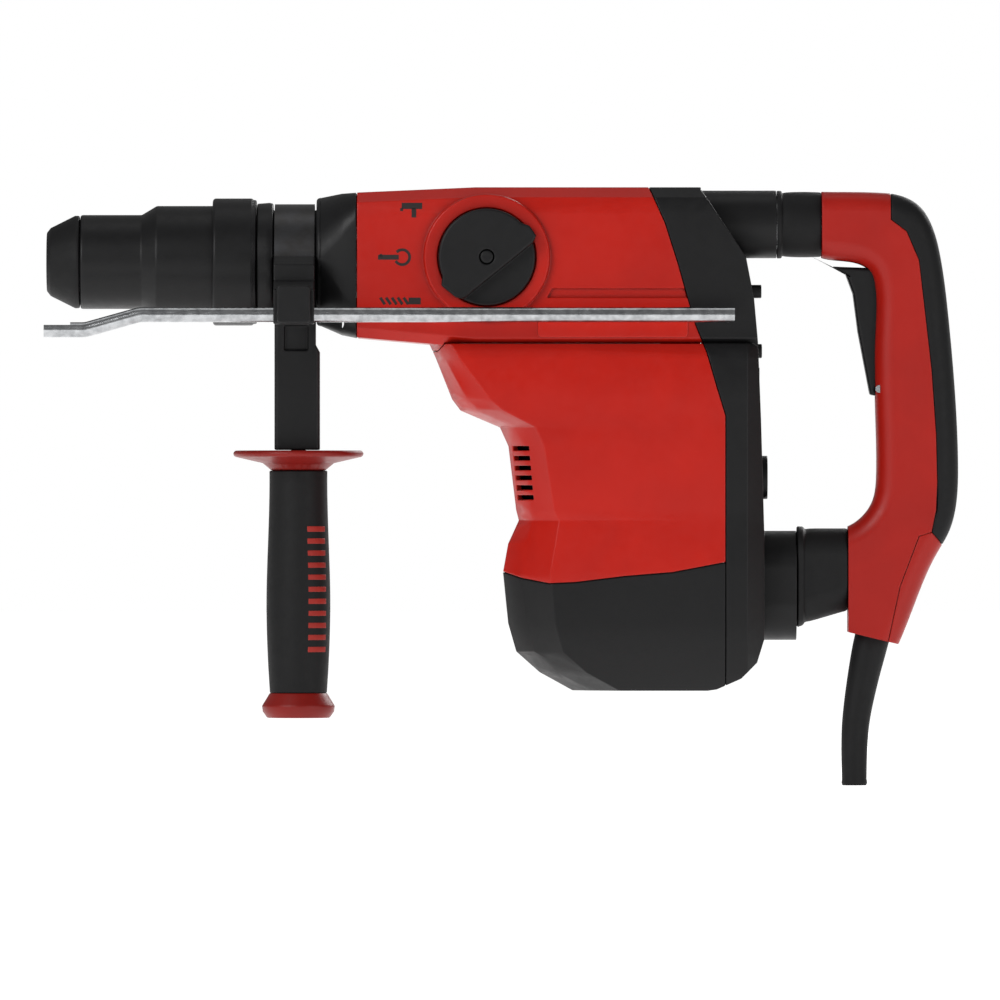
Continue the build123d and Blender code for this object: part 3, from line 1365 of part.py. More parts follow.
def cord_guard():
    """Hollow rubber sleeve that keeps the cord from kinking."""
    last = len(GUARD_LINE) - 1
    with BuildPart() as guard:
        for k, radius in enumerate(GUARD_RADII):
            add(guard_section(k, radius))
        loft()
    with BuildPart() as bore:
        for k in range(last + 1):
            add(guard_section(k, CORD_BORE_R - 0.4))
        loft()
    with BuildPart() as sleeve:
        add(guard.part)
        add(bore.part, mode=Mode.SUBTRACT)
        with BuildSketch(Plane(origin=(GUARD_LINE[-1][0], 0, GUARD_LINE[-1][1] - 1))):
            Circle(CORD_BORE_R)
        extrude(amount=GUARD_LINE[-2][1] - GUARD_LINE[-1][1] + 1, mode=Mode.SUBTRACT)
    return sleeve


# ---- side handle --------------------------------------------------------------------------
def handle_strap():
    """Steel band round the neck with the lug that the clamp bolt pulls."""
    front = STRAP_FRONT + 0.3
    back = STRAP_FRONT + STRAP_WIDTH
    bore = STRAP_SEAT_R + RUN
    with BuildPart() as strap:
        with BuildSketch(at_x(front + 3)):
            with Locations((0, ARM_TOP - 3)):
                Rectangle(18, 14)
        extrude(amount=back - front - 6)
        with BuildSketch(at_x(front)):
            Circle(bore + STRAP_WALL)
        extrude(amount=back - front)
        with BuildSketch(at_x(front - 1)):
            Circle(bore)
        extrude(amount=back - front + 2, mode=Mode.SUBTRACT)
    return strap


def strap_room(extra):
    """Space of the strap and its lug, a little larger."""
    front = STRAP_FRONT - 3
    with BuildPart() as room:
        with BuildSketch(at_x(front)):
            Circle(STRAP_SEAT_R + RUN + STRAP_WALL + extra)
        extrude(amount=30)
        with BuildSketch(at_x(STRAP_FRONT + 3.3 - extra)):
            with Locations((0, ARM_TOP - 3)):
                Rectangle(18 + 2 * extra, 14 + 2 * extra)
        extrude(amount=STRAP_WIDTH - 6.3 + 2 * extra)
    return room


def handle_arm():
    """Black arm between the strap and the grip's flange."""
    left = GRIP_X - ARM_HALF
    right = GRIP_X + ARM_HALF - 1.2
    top = STRAP_FRONT + STRAP_WIDTH + 0.5
    outline = [(left, ARM_TOP + 14), (top, ARM_TOP + 14), (top, -44), (right, -48), (right, ARM_END)]
    outline += [(left, ARM_END)]
    with BuildPart() as arm:
        add(side_prism(outline, ARM_HALF + 0.5).part)
        upright_edges = arm.edges().filter_by(Axis.Z).filter_by(lambda e: e.length > 50)
        fillet(upright_edges, radius=2.0)
        add(strap_room(0.0).part, mode=Mode.SUBTRACT)
        with BuildSketch(Plane.XZ.offset(ARM_HALF + 1)):
            with Locations((GRIP_X - 1, -40.5)):
                Rectangle(12.6, 13)
        extrude(amount=-3.0, mode=Mode.SUBTRACT)
        with BuildSketch(Plane.XY.offset(ARM_END - 1)):
            with Locations((GRIP_X, 0)):
                Circle(4.0)
        extrude(amount=60, mode=Mode.SUBTRACT)
    return arm


def clamp_bolt():
    """Bolt from the strap's lug down into the grip."""
    points = [(0, ARM_TOP - 11), (4.0, ARM_TOP - 11), (4.0, -134), (3.0, -135), (0, -135)]
    return upright(points, GRIP_X)


def depth_clamp():
    """Block on the strap that holds the depth rod."""
    front = STRAP_FRONT + 0.3
    back = STRAP_FRONT + STRAP_WIDTH + 0.3
    middle = (front + back) / 2
    with BuildPart() as block:
        with BuildSketch(at_x(front)):
            with BuildLine():
                Polyline(
                    (-24, 2.4), (-50, 2.4), (-58, -2), (-58, -11), (-62, -11), (-69.6, -15),
                    (-69.6, -33.6), (-45, -33.6), (-24, -27.0), close=True,
                )
            make_face()
        extrude(amount=back - front)
        fillet(block.edges().filter_by(Axis.X).filter_by(lambda e: e.center().Y < -45), radius=1.5)
        with BuildSketch(at_x(front - 1)):
            Circle(STRAP_SEAT_R + RUN + STRAP_WALL)
        extrude(amount=back - front + 2, mode=Mode.SUBTRACT)
        add(side_prism([(left_of_arm(), -27), (back + 1, -27), (back + 1, -60), (left_of_arm(), -60)], 14).part,
            mode=Mode.SUBTRACT)
        with BuildSketch(at_x(front - 1, ROD_Y, ROD_Z)):
            Circle(ROD_R + RUN)
        extrude(amount=back - front + 2, mode=Mode.SUBTRACT)
        with Locations((middle, -67.2, -19.0)):
            Box(10.6, 9.0, 6.6, mode=Mode.SUBTRACT)
    return block


def left_of_arm():
    """Front of the handle arm along X, with a little room."""
    return GRIP_X - ARM_HALF - 1


def depth_button():
    """Release plate of the depth rod with the stem that frees its teeth."""
    middle = STRAP_FRONT + 0.3 + STRAP_WIDTH / 2
    with BuildPart() as button:
        with BuildSketch(on_side(-72.2)):
            with Locations((middle, -23.2)):
                RectangleRounded(17.6, 20.0, 2.0)
        extrude(amount=2.4)
        fillet(button.faces().sort_by(Axis.Y)[0].edges(), radius=0.8)
        with Locations((middle, -69.0, -19.0)):
            Box(10.0, 6.6, 6.0)
    return button


def depth_rod():
    """Bright steel depth rod with a row of teeth and an offset front end."""
    low = ROD_Z - ROD_DROP
    with BuildPart() as rod:
        with BuildLine() as path:
            Polyline((0, ROD_Y, low), (22.0, ROD_Y, low), (50.5, ROD_Y, ROD_Z), (ROD_REAR, ROD_Y, ROD_Z))
            fillet(path.vertices().sort_by(Axis.X)[1:-1], radius=14)
        with BuildSketch(at_x(0, ROD_Y, low)):
            Circle(ROD_R)
        sweep()
        with Locations((4, ROD_Y, low + 3.4)):
            Box(20, 10, 1.6, mode=Mode.SUBTRACT)
        for k in range(ROD_TEETH):
            with BuildSketch(Plane.XZ.offset(-ROD_Y - 8)):
                with Locations((60.0 + k * 4.0, ROD_Z + ROD_R)):
                    Rectangle(1.8, 1.4)
            extrude(amount=16, mode=Mode.SUBTRACT)
    return rod


def grip_core():
    """Red core of the side grip: hand guard, tube and end cap."""
    points = [(4.0 + RUN, ARM_END - GAP), (33.6, ARM_END - GAP), (34.6, ARM_END - 1.4), (34.6, ARM_END - 2.6)]
    points += [(33.8, ARM_END - 3.6), (19.0, ARM_END - 7.0), (14.2, ARM_END - 11.0), (11.0, ARM_END - 11.0)]
    points += [(11.0, GRIP_END + 13.3), (15.2, GRIP_END + 13.3), (19.4, GRIP_END + 6.4), (19.0, GRIP_END + 3.4)]
    points += [(16.6, GRIP_END), (4.0 + RUN, GRIP_END)]
    return upright(points, GRIP_X)


def grip_sleeve():
    """Black rubber sleeve of the side grip."""
    top = ARM_END - 11.0
    low = GRIP_END + 13.3
    with BuildPart() as sleeve:
        with BuildSketch(Plane.XZ):
            with BuildLine():
                Polyline((GRIP_X + 15.2, low), (GRIP_X + 11, low), (GRIP_X + 11, top), (GRIP_X + 15.4, top))
                Spline(
                    (GRIP_X + 15.4, top), (GRIP_X + 16.2, -150), (GRIP_X + 17.0, -180), (GRIP_X + 16.4, -208),
                    (GRIP_X + 15.2, low),
                )
            make_face()
        revolve(axis=Axis((GRIP_X, 0, 0), (0, 0, 1)))
    return sleeve


# ---- all pieces ---------------------------------------------------------------------------
OUTER = body_solid()
INNER = body_solid(WALL)
HANDLE = handle_block(0.0, HANDLE_HALF, HANDLE_ROUND)

save(tool_spindle(), "tool_spindle")
save(dust_cap(), "dust_cap")
save(hammer_cylinder(), "hammer_cylinder")
save(spindle_gear(), "spindle_gear")
save(lock_sleeve(), "lock_sleeve")
save(lock_roller(1), "lock_roller_upper")
save(lock_roller(-1), "lock_roller_lower")
save(coil_spring((50.2, 0, 0), 19.9, 1.1, 4, 17.6, (1, 0, 0)), "sleeve_spring")
save(beat_piece(), "beat_piece")
save(striker(), "striker")
save(piston(), "piston")
save(wrist_pin(), "wrist_pin")
save(connecting_rod(), "conrod")
save(crank_pin(), "crank_pin")
save(crankshaft(), "crankshaft")
save(crank_gear(), "crank_gear")
save(drive_shaft(), "drive_shaft")
save(drive_gear(), "drive_gear")
save(clutch_sleeve(), "clutch_sleeve")
save(shift_plate(), "shift_plate")
save(mode_knob(), "mode_knob")
save(knob_button(), "knob_button")
save(armature_shaft(), "armature_shaft")
save(armature_core(), "armature_core")
save(commutator(), "commutator")
save(cooling_fan(), "cooling_fan")
save(nose_ring(), "nose_ring")
save(front_housing(), "front_housing")
save(gear_case(), "gear_case")
save(gear_hood(), "gear_hood")
save(motor_housing(), "motor_housing")
save(bottom_cap(), "bottom_cap")
save(rear_cover(), "rear_cover")
save(stator(), "stator")
save(field_coils(), "field_coils")
save(brush_boxes(COMMUTATOR_R + 0.3, 27.0, 8.0, 7.0), "carbon_brushes")
save(brush_holders(), "brush_holders")
save(shaft_bearings(), "shaft_bearings")
save(speed_module(), "speed_module")
save(case_screws(), "case_screws")
save(coil_spring((368.2, 0, TUBE_Z), 11.2, 1.2, 4, 17.6, (1, 0, 0)), "damper_spring")
save(upper_bellows(), "upper_bellows")
save(lower_bellows(), "lower_bellows")
save(handle_front_shell(), "handle_front_shell")
save(handle_rear_shell(), "handle_rear_shell")
save(handle_pad(), "handle_pad")
save(handle_screws(), "handle_screws")
save(handle_pins(), "handle_pins")
save(damper_plunger(), "damper_plunger")
save(power_switch(), "power_switch")
save(cord_guard(), "cord_guard")
save(trigger(), "trigger")
save(handle_strap(), "handle_strap")
save(handle_arm(), "handle_arm")
save(clamp_bolt(), "clamp_bolt")
save(depth_clamp(), "depth_clamp")
save(depth_button(), "depth_button")
save(depth_rod(), "depth_rod")
save(grip_core(), "grip_core")
save(grip_sleeve(), "grip_sleeve")
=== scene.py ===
import json
from math import cos, pi, radians, sin, sqrt

import bmesh
import bpy
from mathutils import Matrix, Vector

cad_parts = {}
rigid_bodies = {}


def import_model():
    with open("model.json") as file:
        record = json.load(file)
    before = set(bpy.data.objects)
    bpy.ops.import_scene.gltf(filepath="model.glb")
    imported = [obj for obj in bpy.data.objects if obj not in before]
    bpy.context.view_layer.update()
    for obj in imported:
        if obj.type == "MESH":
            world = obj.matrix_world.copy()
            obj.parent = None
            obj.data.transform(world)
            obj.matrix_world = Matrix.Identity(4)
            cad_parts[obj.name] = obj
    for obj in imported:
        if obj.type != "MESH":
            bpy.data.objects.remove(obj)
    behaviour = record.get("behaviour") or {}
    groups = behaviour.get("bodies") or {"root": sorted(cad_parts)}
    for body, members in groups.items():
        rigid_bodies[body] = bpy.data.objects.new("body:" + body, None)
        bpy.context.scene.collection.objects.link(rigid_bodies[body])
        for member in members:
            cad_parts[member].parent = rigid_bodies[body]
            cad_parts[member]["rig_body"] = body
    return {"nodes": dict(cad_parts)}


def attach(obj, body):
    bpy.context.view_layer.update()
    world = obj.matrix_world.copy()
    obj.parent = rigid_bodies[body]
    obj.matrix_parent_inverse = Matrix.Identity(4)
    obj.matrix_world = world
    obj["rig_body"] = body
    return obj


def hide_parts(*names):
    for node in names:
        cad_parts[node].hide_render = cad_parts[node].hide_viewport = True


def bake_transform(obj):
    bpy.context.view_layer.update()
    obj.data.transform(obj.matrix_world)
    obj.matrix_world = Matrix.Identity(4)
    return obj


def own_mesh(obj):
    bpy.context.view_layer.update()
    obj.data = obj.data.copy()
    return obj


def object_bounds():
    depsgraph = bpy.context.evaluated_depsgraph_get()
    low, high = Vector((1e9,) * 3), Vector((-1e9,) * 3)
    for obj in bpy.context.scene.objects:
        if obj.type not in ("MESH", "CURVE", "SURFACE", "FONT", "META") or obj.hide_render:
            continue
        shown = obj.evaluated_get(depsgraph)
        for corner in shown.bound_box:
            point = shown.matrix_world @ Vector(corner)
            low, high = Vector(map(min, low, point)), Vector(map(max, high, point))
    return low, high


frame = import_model()
cad_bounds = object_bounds()


# ---- camera, floor and light ------------------------------------------------------------------
# A long lens square to the tool's side, a pale paper floor, and large soft boxes above and
# in front, as for a catalogue.
MM = 0.001
VIEW_WIDTH = 532.0 * MM
VIEW_X, VIEW_Z = 241.0 * MM, -126.6 * MM
LENS_AWAY = 9.0
FLOOR_Z = cad_bounds[0][2] - 0.5 * MM


def srgb(code):
    """A hex colour as the linear values a shader takes."""
    values = [int(code[k:k + 2], 16) / 255 for k in (1, 3, 5)]
    return [v / 12.92 if v <= 0.04045 else ((v + 0.055) / 1.055) ** 2.4 for v in values] + [1.0]


def add_node(tree, kind, values=None, links=None, **settings):
    """One node, its settings, its unlinked values and the sockets that feed it."""
    made = tree.nodes.new(kind)
    for key, value in settings.items():
        setattr(made, key, value)
    for key, value in (values or {}).items():
        made.inputs[key].default_value = value
    for key, source in (links or {}).items():
        tree.links.new(source, made.inputs[key])
    return made


def new_material(name):
    """An empty material with no nodes, and the tree to build in."""
    material = bpy.data.materials.new(name)
    material.use_nodes = True
    material.node_tree.nodes.clear()
    return material, material.node_tree


def piece_from(name, vertices, faces, material):
    """A mesh object at the origin with one material."""
    mesh = bpy.data.meshes.new(name)
    mesh.from_pydata([tuple(v) for v in vertices], [], faces)
    mesh.materials.append(material)
    made = bpy.data.objects.new(name, mesh)
    bpy.context.scene.collection.objects.link(made)
    return made


def backdrop_paper():
    """Matt white backdrop paper with a faint fibre, lit from below as on a light table."""
    material, tree = new_material("matt_backdrop_paper")
    place = add_node(tree, "ShaderNodeTexCoord")
    fibre = add_node(tree, "ShaderNodeTexNoise", {"Scale": 1 / (2.5 * MM), "Detail": 4.0},
                     {"Vector": place.outputs["Object"]})
    rise = add_node(tree, "ShaderNodeBump", {"Strength": 0.05, "Distance": 0.05 * MM},
                    {"Height": fibre.outputs["Fac"]})
    paper = add_node(tree, "ShaderNodeBsdfPrincipled",
                     {"Base Color": srgb("#F2F2F1"), "Roughness": 0.9, "Specular IOR Level": 0.1,
                      "Emission Color": srgb("#FFFFFF"), "Emission Strength": 0.86},
                     {"Normal": rise.outputs["Normal"]})
    add_node(tree, "ShaderNodeOutputMaterial", links={"Surface": paper.outputs["BSDF"]})
    return material


FLOOR_HALF = 14.0
corners = [(-FLOOR_HALF, -FLOOR_HALF), (FLOOR_HALF, -FLOOR_HALF), (FLOOR_HALF, FLOOR_HALF),
           (-FLOOR_HALF, FLOOR_HALF)]
floor = piece_from("paper_floor", [(x, y, FLOOR_Z) for x, y in corners], [(0, 1, 2, 3)], backdrop_paper())

lens = bpy.data.cameras.new("long_lens")
lens.sensor_width = 36.0
lens.lens = 36.0 * LENS_AWAY / VIEW_WIDTH
lens.clip_end = 60.0
camera = bpy.data.objects.new("camera", lens)
camera.location = (VIEW_X, -LENS_AWAY, VIEW_Z)
camera.rotation_euler = (radians(90), 0, 0)
bpy.context.scene.collection.objects.link(camera)
bpy.context.scene.camera = camera

world = bpy.data.worlds.new("studio")
world.use_nodes = True
world.node_tree.nodes.clear()
seen = add_node(world.node_tree, "ShaderNodeLightPath")
bright = add_node(world.node_tree, "ShaderNodeMapRange", {"To Min": 0.25, "To Max": 1.0},
                  {"Value": seen.outputs["Is Camera Ray"]})
sky = add_node(world.node_tree, "ShaderNodeBackground", {"Color": srgb("#FFFFFF")},
               {"Strength": bright.outputs["Result"]})
add_node(world.node_tree, "ShaderNodeOutputWorld", links={"Surface": sky.outputs["Background"]})
bpy.context.scene.world = world
bpy.context.scene.view_settings.view_transform = "Standard"

# name, place, size, power, and the point that it faces
SOFT_BOXES = [
    ("key_box", (-1.1, -1.7, 0.95), (1.0, 1.0), 30.0, (0.25, 0.0, -0.08)),
    ("fill_box", (1.65, -1.5, 0.2), (0.7, 1.2), 9.0, (0.25, 0.0, -0.1)),
    ("top_box", (0.25, 0.15, 1.5), (1.6, 0.7), 3.0, (0.25, 0.0, 0.0)),
    ("back_box", (1.2, 1.6, 0.8), (1.2, 0.9), 20.0, (0.25, 0.0, -0.08)),
]
for name, place, size, power, aim in SOFT_BOXES:
    lamp = bpy.data.lights.new(name, "AREA")
    lamp.shape = "RECTANGLE"
    lamp.size, lamp.size_y = size
    lamp.energy = power
    box = bpy.data.objects.new(name, lamp)
    box.location = place
    box.visible_camera = False
    box.rotation_euler = (Vector(aim) - Vector(place)).to_track_quat("-Z", "Y").to_euler()
    bpy.context.scene.collection.objects.link(box)


# ---- motor ------------------------------------------------------------------------------------
# Universal motor that stands upright in its housing: ground shaft, stacks of stamped
# electrical steel, enamelled windings, copper commutator, carbon brushes and a moulded fan.
def metal(name, colour, roughness, line_mm, depth_mm, stain, patch_mm=9.0):
    """A metal whose tool marks lie at the given spacing along X, Y and Z; 0 means none that way."""
    material, tree = new_material(name)
    place = add_node(tree, "ShaderNodeTexCoord")
    run = [1 / (mm * MM) if mm else 12.0 for mm in line_mm]
    laid = add_node(tree, "ShaderNodeMapping", {"Scale": run}, {"Vector": place.outputs["Object"]})
    marks = add_node(tree, "ShaderNodeTexNoise", {"Scale": 1.0, "Detail": 3.0, "Roughness": 0.6},
                     {"Vector": laid.outputs["Vector"]})
    patch = add_node(tree, "ShaderNodeTexNoise", {"Scale": 1 / (patch_mm * MM), "Detail": 5.0},
                     {"Vector": place.outputs["Object"]})
    tone = add_node(tree, "ShaderNodeMix", data_type="RGBA")
    spread = add_node(tree, "ShaderNodeMapRange", {"From Min": 0.35, "From Max": 0.75, "To Max": 0.55},
                      {"Value": patch.outputs["Fac"]})
    tone.inputs[6].default_value, tone.inputs[7].default_value = colour, stain
    tree.links.new(spread.outputs["Result"], tone.inputs[0])
    dull = add_node(tree, "ShaderNodeMapRange", {"From Min": 0.3, "From Max": 0.7, "To Min": roughness - 0.07,
                                                 "To Max": roughness + 0.09}, {"Value": marks.outputs["Fac"]})
    cut = add_node(tree, "ShaderNodeBump", {"Strength": 0.45, "Distance": depth_mm * MM},
                   {"Height": marks.outputs["Fac"]})
    surface = add_node(tree, "ShaderNodeBsdfPrincipled", {"Metallic": 1.0},
                       {"Base Color": tone.outputs[2], "Roughness": dull.outputs["Result"],
                        "Normal": cut.outputs["Normal"]})
    add_node(tree, "ShaderNodeOutputMaterial", links={"Surface": surface.outputs["BSDF"]})
    return material


def dress(nodes, material):
    """Puts a material on CAD nodes whose shape stays as it is."""
    for node in nodes:
        for held in frame["nodes"][node].material_slots:
            held.material = material


# ground and hardened steel: fine rings round the axis, grey with a slight blue
ground_steel = metal("ground_gear_steel", srgb("#A9ACB0"), 0.27, (0.5, 0.5, 0.35), 0.01, srgb("#86888C"))
# stamped electrical steel: the edges of 0.5 mm sheets, oxide-dark and oily
stacked_sheets = metal("stacked_electrical_steel", srgb("#6E7075"), 0.42, (0, 0, 0.5), 0.06, srgb("#4B4744"))
# enamelled copper wire: amber gloss over copper, wires 0.6 mm apart
copper_wire = metal("enamelled_copper_wire", srgb("#B5602F"), 0.3, (0, 0.6, 0), 0.12, srgb("#8A4420"))
# hard-drawn copper bars, bright where the brushes run
copper_bars = metal("turned_copper", srgb("#D08658"), 0.25, (0, 0, 0.3), 0.01, srgb("#7A4A33"))
# drawn brass, slightly tarnished
drawn_brass = metal("drawn_brass", srgb("#C9A45A"), 0.32, (0, 0, 0.4), 0.01, srgb("#8F7338"))
dress(["armature_shaft"], ground_steel)
dress(["armature_core", "stator"], stacked_sheets)
dress(["field_coils"], copper_wire)
dress(["commutator"], copper_bars)
dress(["brush_holders"], drawn_brass)


def polymer(name, colour, shade, roughness, grain_mm, grain_depth_mm, wear, specular=0.5, coat=0.0, edge_mm=0.9,
            scuff=0.5):
    """A moulded plastic or rubber: spark-eroded grain, flow marks, painted shade in its corners and pale rubbed
    edges.
    """
    material, tree = new_material(name)
    place = add_node(tree, "ShaderNodeTexCoord")
    where = place.outputs["Object"]
    flow = add_node(tree, "ShaderNodeTexNoise", {"Scale": 1 / (38 * MM), "Detail": 3.0, "Distortion": 0.6},
                    {"Vector": where})
    grain = add_node(tree, "ShaderNodeTexNoise",
                     {"Scale": 1 / (grain_mm * MM), "Detail": 2.0, "Roughness": 0.55}, {"Vector": where})
    rubs = add_node(tree, "ShaderNodeTexNoise", {"Scale": 1 / (5.5 * MM), "Detail": 6.0, "Roughness": 0.7},
                    {"Vector": where})
    tone = add_node(tree, "ShaderNodeMix", data_type="RGBA")
    tone.inputs[6].default_value, tone.inputs[7].default_value = colour, shade
    spread = add_node(tree, "ShaderNodeMapRange", {"From Min": 0.35, "From Max": 0.7, "To Max": 0.6},
                      {"Value": flow.outputs["Fac"]})
    tree.links.new(spread.outputs["Result"], tone.inputs[0])
    # painted shade in the corners: the colour darkens where the occlusion node finds nearby surfaces
    hollow = add_node(tree, "ShaderNodeAmbientOcclusion", {"Distance": 5 * MM}, samples=6)
    corner = add_node(tree, "ShaderNodeMapRange",
                      {"From Min": 0.35, "From Max": 0.85, "To Min": 0.75, "To Max": 0.0},
                      {"Value": hollow.outputs["AO"]})
    corner_painted_shade = add_node(tree, "ShaderNodeMix", data_type="RGBA")
    corner_painted_shade.inputs[7].default_value = [0.35 * v for v in shade[:3]] + [1.0]
    tree.links.new(corner.outputs["Result"], corner_painted_shade.inputs[0])
    tree.links.new(tone.outputs[2], corner_painted_shade.inputs[6])
    # rubbed edges: where the rounded normal leaves the true one
    soft = add_node(tree, "ShaderNodeBevel", {"Radius": edge_mm * MM}, samples=6)
    true = add_node(tree, "ShaderNodeNewGeometry")
    lean = add_node(tree, "ShaderNodeVectorMath", operation="DOT_PRODUCT")
    tree.links.new(soft.outputs["Normal"], lean.inputs[0])
    tree.links.new(true.outputs["Normal"], lean.inputs[1])
    rim = add_node(tree, "ShaderNodeMapRange", {"From Min": 0.985, "From Max": 0.86},
                   {"Value": lean.outputs["Value"]})
    patch = add_node(tree, "ShaderNodeMapRange", {"From Min": 0.46, "From Max": 0.66},
                     {"Value": rubs.outputs["Fac"]})
    worn = add_node(tree, "ShaderNodeMath", operation="MULTIPLY")
    tree.links.new(rim.outputs["Result"], worn.inputs[0])
    tree.links.new(patch.outputs["Result"], worn.inputs[1])
    some = add_node(tree, "ShaderNodeMath", {1: scuff}, {0: worn.outputs["Value"]}, operation="MULTIPLY")
    final = add_node(tree, "ShaderNodeMix", data_type="RGBA")
    final.inputs[7].default_value = wear
    tree.links.new(some.outputs["Value"], final.inputs[0])
    tree.links.new(corner_painted_shade.outputs[2], final.inputs[6])
    dull = add_node(tree, "ShaderNodeMapRange", {"From Min": 0.3, "From Max": 0.7, "To Min": roughness - 0.05,
                                                 "To Max": roughness + 0.07}, {"Value": rubs.outputs["Fac"]})
    pebbled = add_node(tree, "ShaderNodeBump", {"Strength": 0.5, "Distance": grain_depth_mm * MM},
                       {"Height": grain.outputs["Fac"], "Normal": soft.outputs["Normal"]})
    surface = add_node(tree, "ShaderNodeBsdfPrincipled",
                       {"Specular IOR Level": specular, "Coat Weight": coat, "Coat Roughness": 0.2},
                       {"Base Color": final.outputs[2], "Roughness": dull.outputs["Result"],
                        "Normal": pebbled.outputs["Normal"]})
    add_node(tree, "ShaderNodeOutputMaterial", links={"Surface": surface.outputs["BSDF"]})
    return material


# glass-filled nylon, black: satin, with fine spark-eroded grain
black_nylon = polymer("black_glass_filled_nylon", srgb("#0F0F10"), srgb("#0B0B0C"), 0.42, 0.55, 0.05,
                      srgb("#2E2E30"), specular=0.22)
# pressed carbon: dead matt and slightly grey
pressed_carbon = polymer("pressed_carbon", srgb("#2A2A2B"), srgb("#1D1D1E"), 0.8, 0.4, 0.05, srgb("#3A3A3B"),
                         specular=0.3)
dress(["cooling_fan", "speed_module"], black_nylon)
dress(["carbon_brushes"], pressed_carbon)


# ---- gear train and hammer mechanism ----------------------------------------------------------
# Helper pinions drive a crank and a bevel shaft; the piston, striker and beat piece run in a
# ground cylinder. Case-hardened and ground steel, with a cast light-alloy case and piston.
# cast magnesium: dull grey skin with a pebbled surface
cast_alloy = metal("cast_magnesium", srgb("#A4A5A4"), 0.5, (1.2, 1.2, 1.2), 0.12, srgb("#8A8B88"))
# phosphated and oiled steel: nearly black, with a brown cast
phosphated_steel = metal("phosphated_steel", srgb("#4A4A4C"), 0.38, (0.6, 0.6, 0.6), 0.015, srgb("#38352F"))
# zinc-plated steel: bright, faintly clouded
zinc_steel = metal("zinc_plated_steel", srgb("#B9BBBD"), 0.2, (0.8, 0.8, 0.8), 0.008, srgb("#7E8082"))
dress(["hammer_cylinder", "spindle_gear", "crankshaft", "crank_gear", "drive_shaft", "drive_gear",
       "clutch_sleeve"], ground_steel)
dress(["gear_case", "piston", "conrod"], cast_alloy)
dress(["beat_piece", "striker"], phosphated_steel)
dress(["wrist_pin", "crank_pin", "shaft_bearings", "shift_plate"], zinc_steel)


# ---- red housings -----------------------------------------------------------------------------
# The gear hood and the motor housing, moulded in glossy red glass-filled nylon over the
# light-alloy case, with a parting joint between them and louvres for the cooling air.
def merged(node):
    """A CAD node's mesh as a bmesh with its loose corners joined and its flat faces whole."""
    shape = bmesh.new()
    shape.from_mesh(frame["nodes"][node].data)
    bmesh.ops.remove_doubles(shape, verts=shape.verts, dist=0.01 * MM)
    bmesh.ops.dissolve_degenerate(shape, edges=shape.edges, dist=0.01 * MM)
    bmesh.ops.dissolve_limit(shape, angle_limit=radians(0.6), verts=shape.verts, edges=shape.edges)
    return shape


def applied(made):
    """The object's modifiers turned into its plain mesh."""
    bpy.context.view_layer.update()
    result = bpy.data.meshes.new_from_object(made.evaluated_get(bpy.context.evaluated_depsgraph_get()))
    made.modifiers.clear()
    made.data = result
    return made


def smoothed(made, angle=38.0):
    """Smooth shading up to an angle, with the flat faces kept flat."""
    made.data.shade_smooth()
    made.data.set_sharp_from_angle(angle=radians(angle))
    made.modifiers.new("flat_faces_flat", "WEIGHTED_NORMAL").keep_sharp = True
    return made


EDGE_STEPS = 3
EDGE_ANGLE = 30.0


def rounded(node, name, radius_mm, material):
    """A moulded or machined piece: a CAD node's own shape with its sharp edges rounded."""
    shape = merged(node)
    mesh = bpy.data.meshes.new(name)
    shape.to_mesh(mesh)
    shape.free()
    mesh.materials.append(material)
    made = bpy.data.objects.new(name, mesh)
    bpy.context.scene.collection.objects.link(made)
    edge = made.modifiers.new("rounded_edges", "BEVEL")
    edge.width = radius_mm * MM
    edge.segments = EDGE_STEPS
    edge.limit_method = "ANGLE"
    edge.angle_limit = radians(EDGE_ANGLE)
    edge.use_clamp_overlap = False
    edge.miter_outer = "MITER_ARC"
    applied(made)
    smoothed(made)
    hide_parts(node)
    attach(made, frame["nodes"][node]["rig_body"])


# satin red: a slight gloss, with paler rubbed edges
red_nylon = polymer("red_glass_filled_nylon", srgb("#A61508"), srgb("#961006"), 0.33, 0.6, 0.035,
                    srgb("#B03C30"), specular=0.24, scuff=0.3)
rounded("gear_hood", "gear_hood_shell", 0.4, red_nylon)
rounded("motor_housing", "motor_housing_shell", 0.4, red_nylon)


# ---- raised panel and mode pictograms -----------------------------------------------------------
# A plain pad moulded proud of the hood's flank, and three pad-printed pictograms that show
# what the selector chooses: hammer, hammer with turning, and turning.
def inked(name, colour):
    """Pad-printing ink: a thin, even, nearly matt film."""
    material, tree = new_material(name)
    place = add_node(tree, "ShaderNodeTexCoord")
    grain = add_node(tree, "ShaderNodeTexNoise", {"Scale": 1 / (0.4 * MM), "Detail": 3.0},
                     {"Vector": place.outputs["Object"]})
    thin = add_node(tree, "ShaderNodeMapRange", {"From Min": 0.3, "From Max": 0.7, "To Min": 0.85, "To Max": 1.1},
                    {"Value": grain.outputs["Fac"]})
    shade = add_node(tree, "ShaderNodeVectorMath", {0: colour[:3]}, operation="SCALE")
    tree.links.new(thin.outputs["Result"], shade.inputs["Scale"])
    film = add_node(tree, "ShaderNodeBsdfPrincipled", {"Roughness": 0.55, "Specular IOR Level": 0.35},
                    {"Base Color": shade.outputs["Vector"]})
    add_node(tree, "ShaderNodeOutputMaterial", links={"Surface": film.outputs["BSDF"]})
    return material


# the same nylon, polished in the mould: a clearer, slightly lighter red
polished_red = polymer("red_nylon_polished", srgb("#B81808"), srgb("#AC1407"), 0.2, 0.9, 0.01, srgb("#C04A3E"),
                       specular=0.3, scuff=0.2)


def outward(made):
    """Turns every face of a closed mesh outwards."""
    shape = bmesh.new()
    shape.from_mesh(made.data)
    bmesh.ops.remove_doubles(shape, verts=shape.verts, dist=0.001 * MM)
    bmesh.ops.recalc_face_normals(shape, faces=shape.faces)
    shape.to_mesh(made.data)
    shape.free()


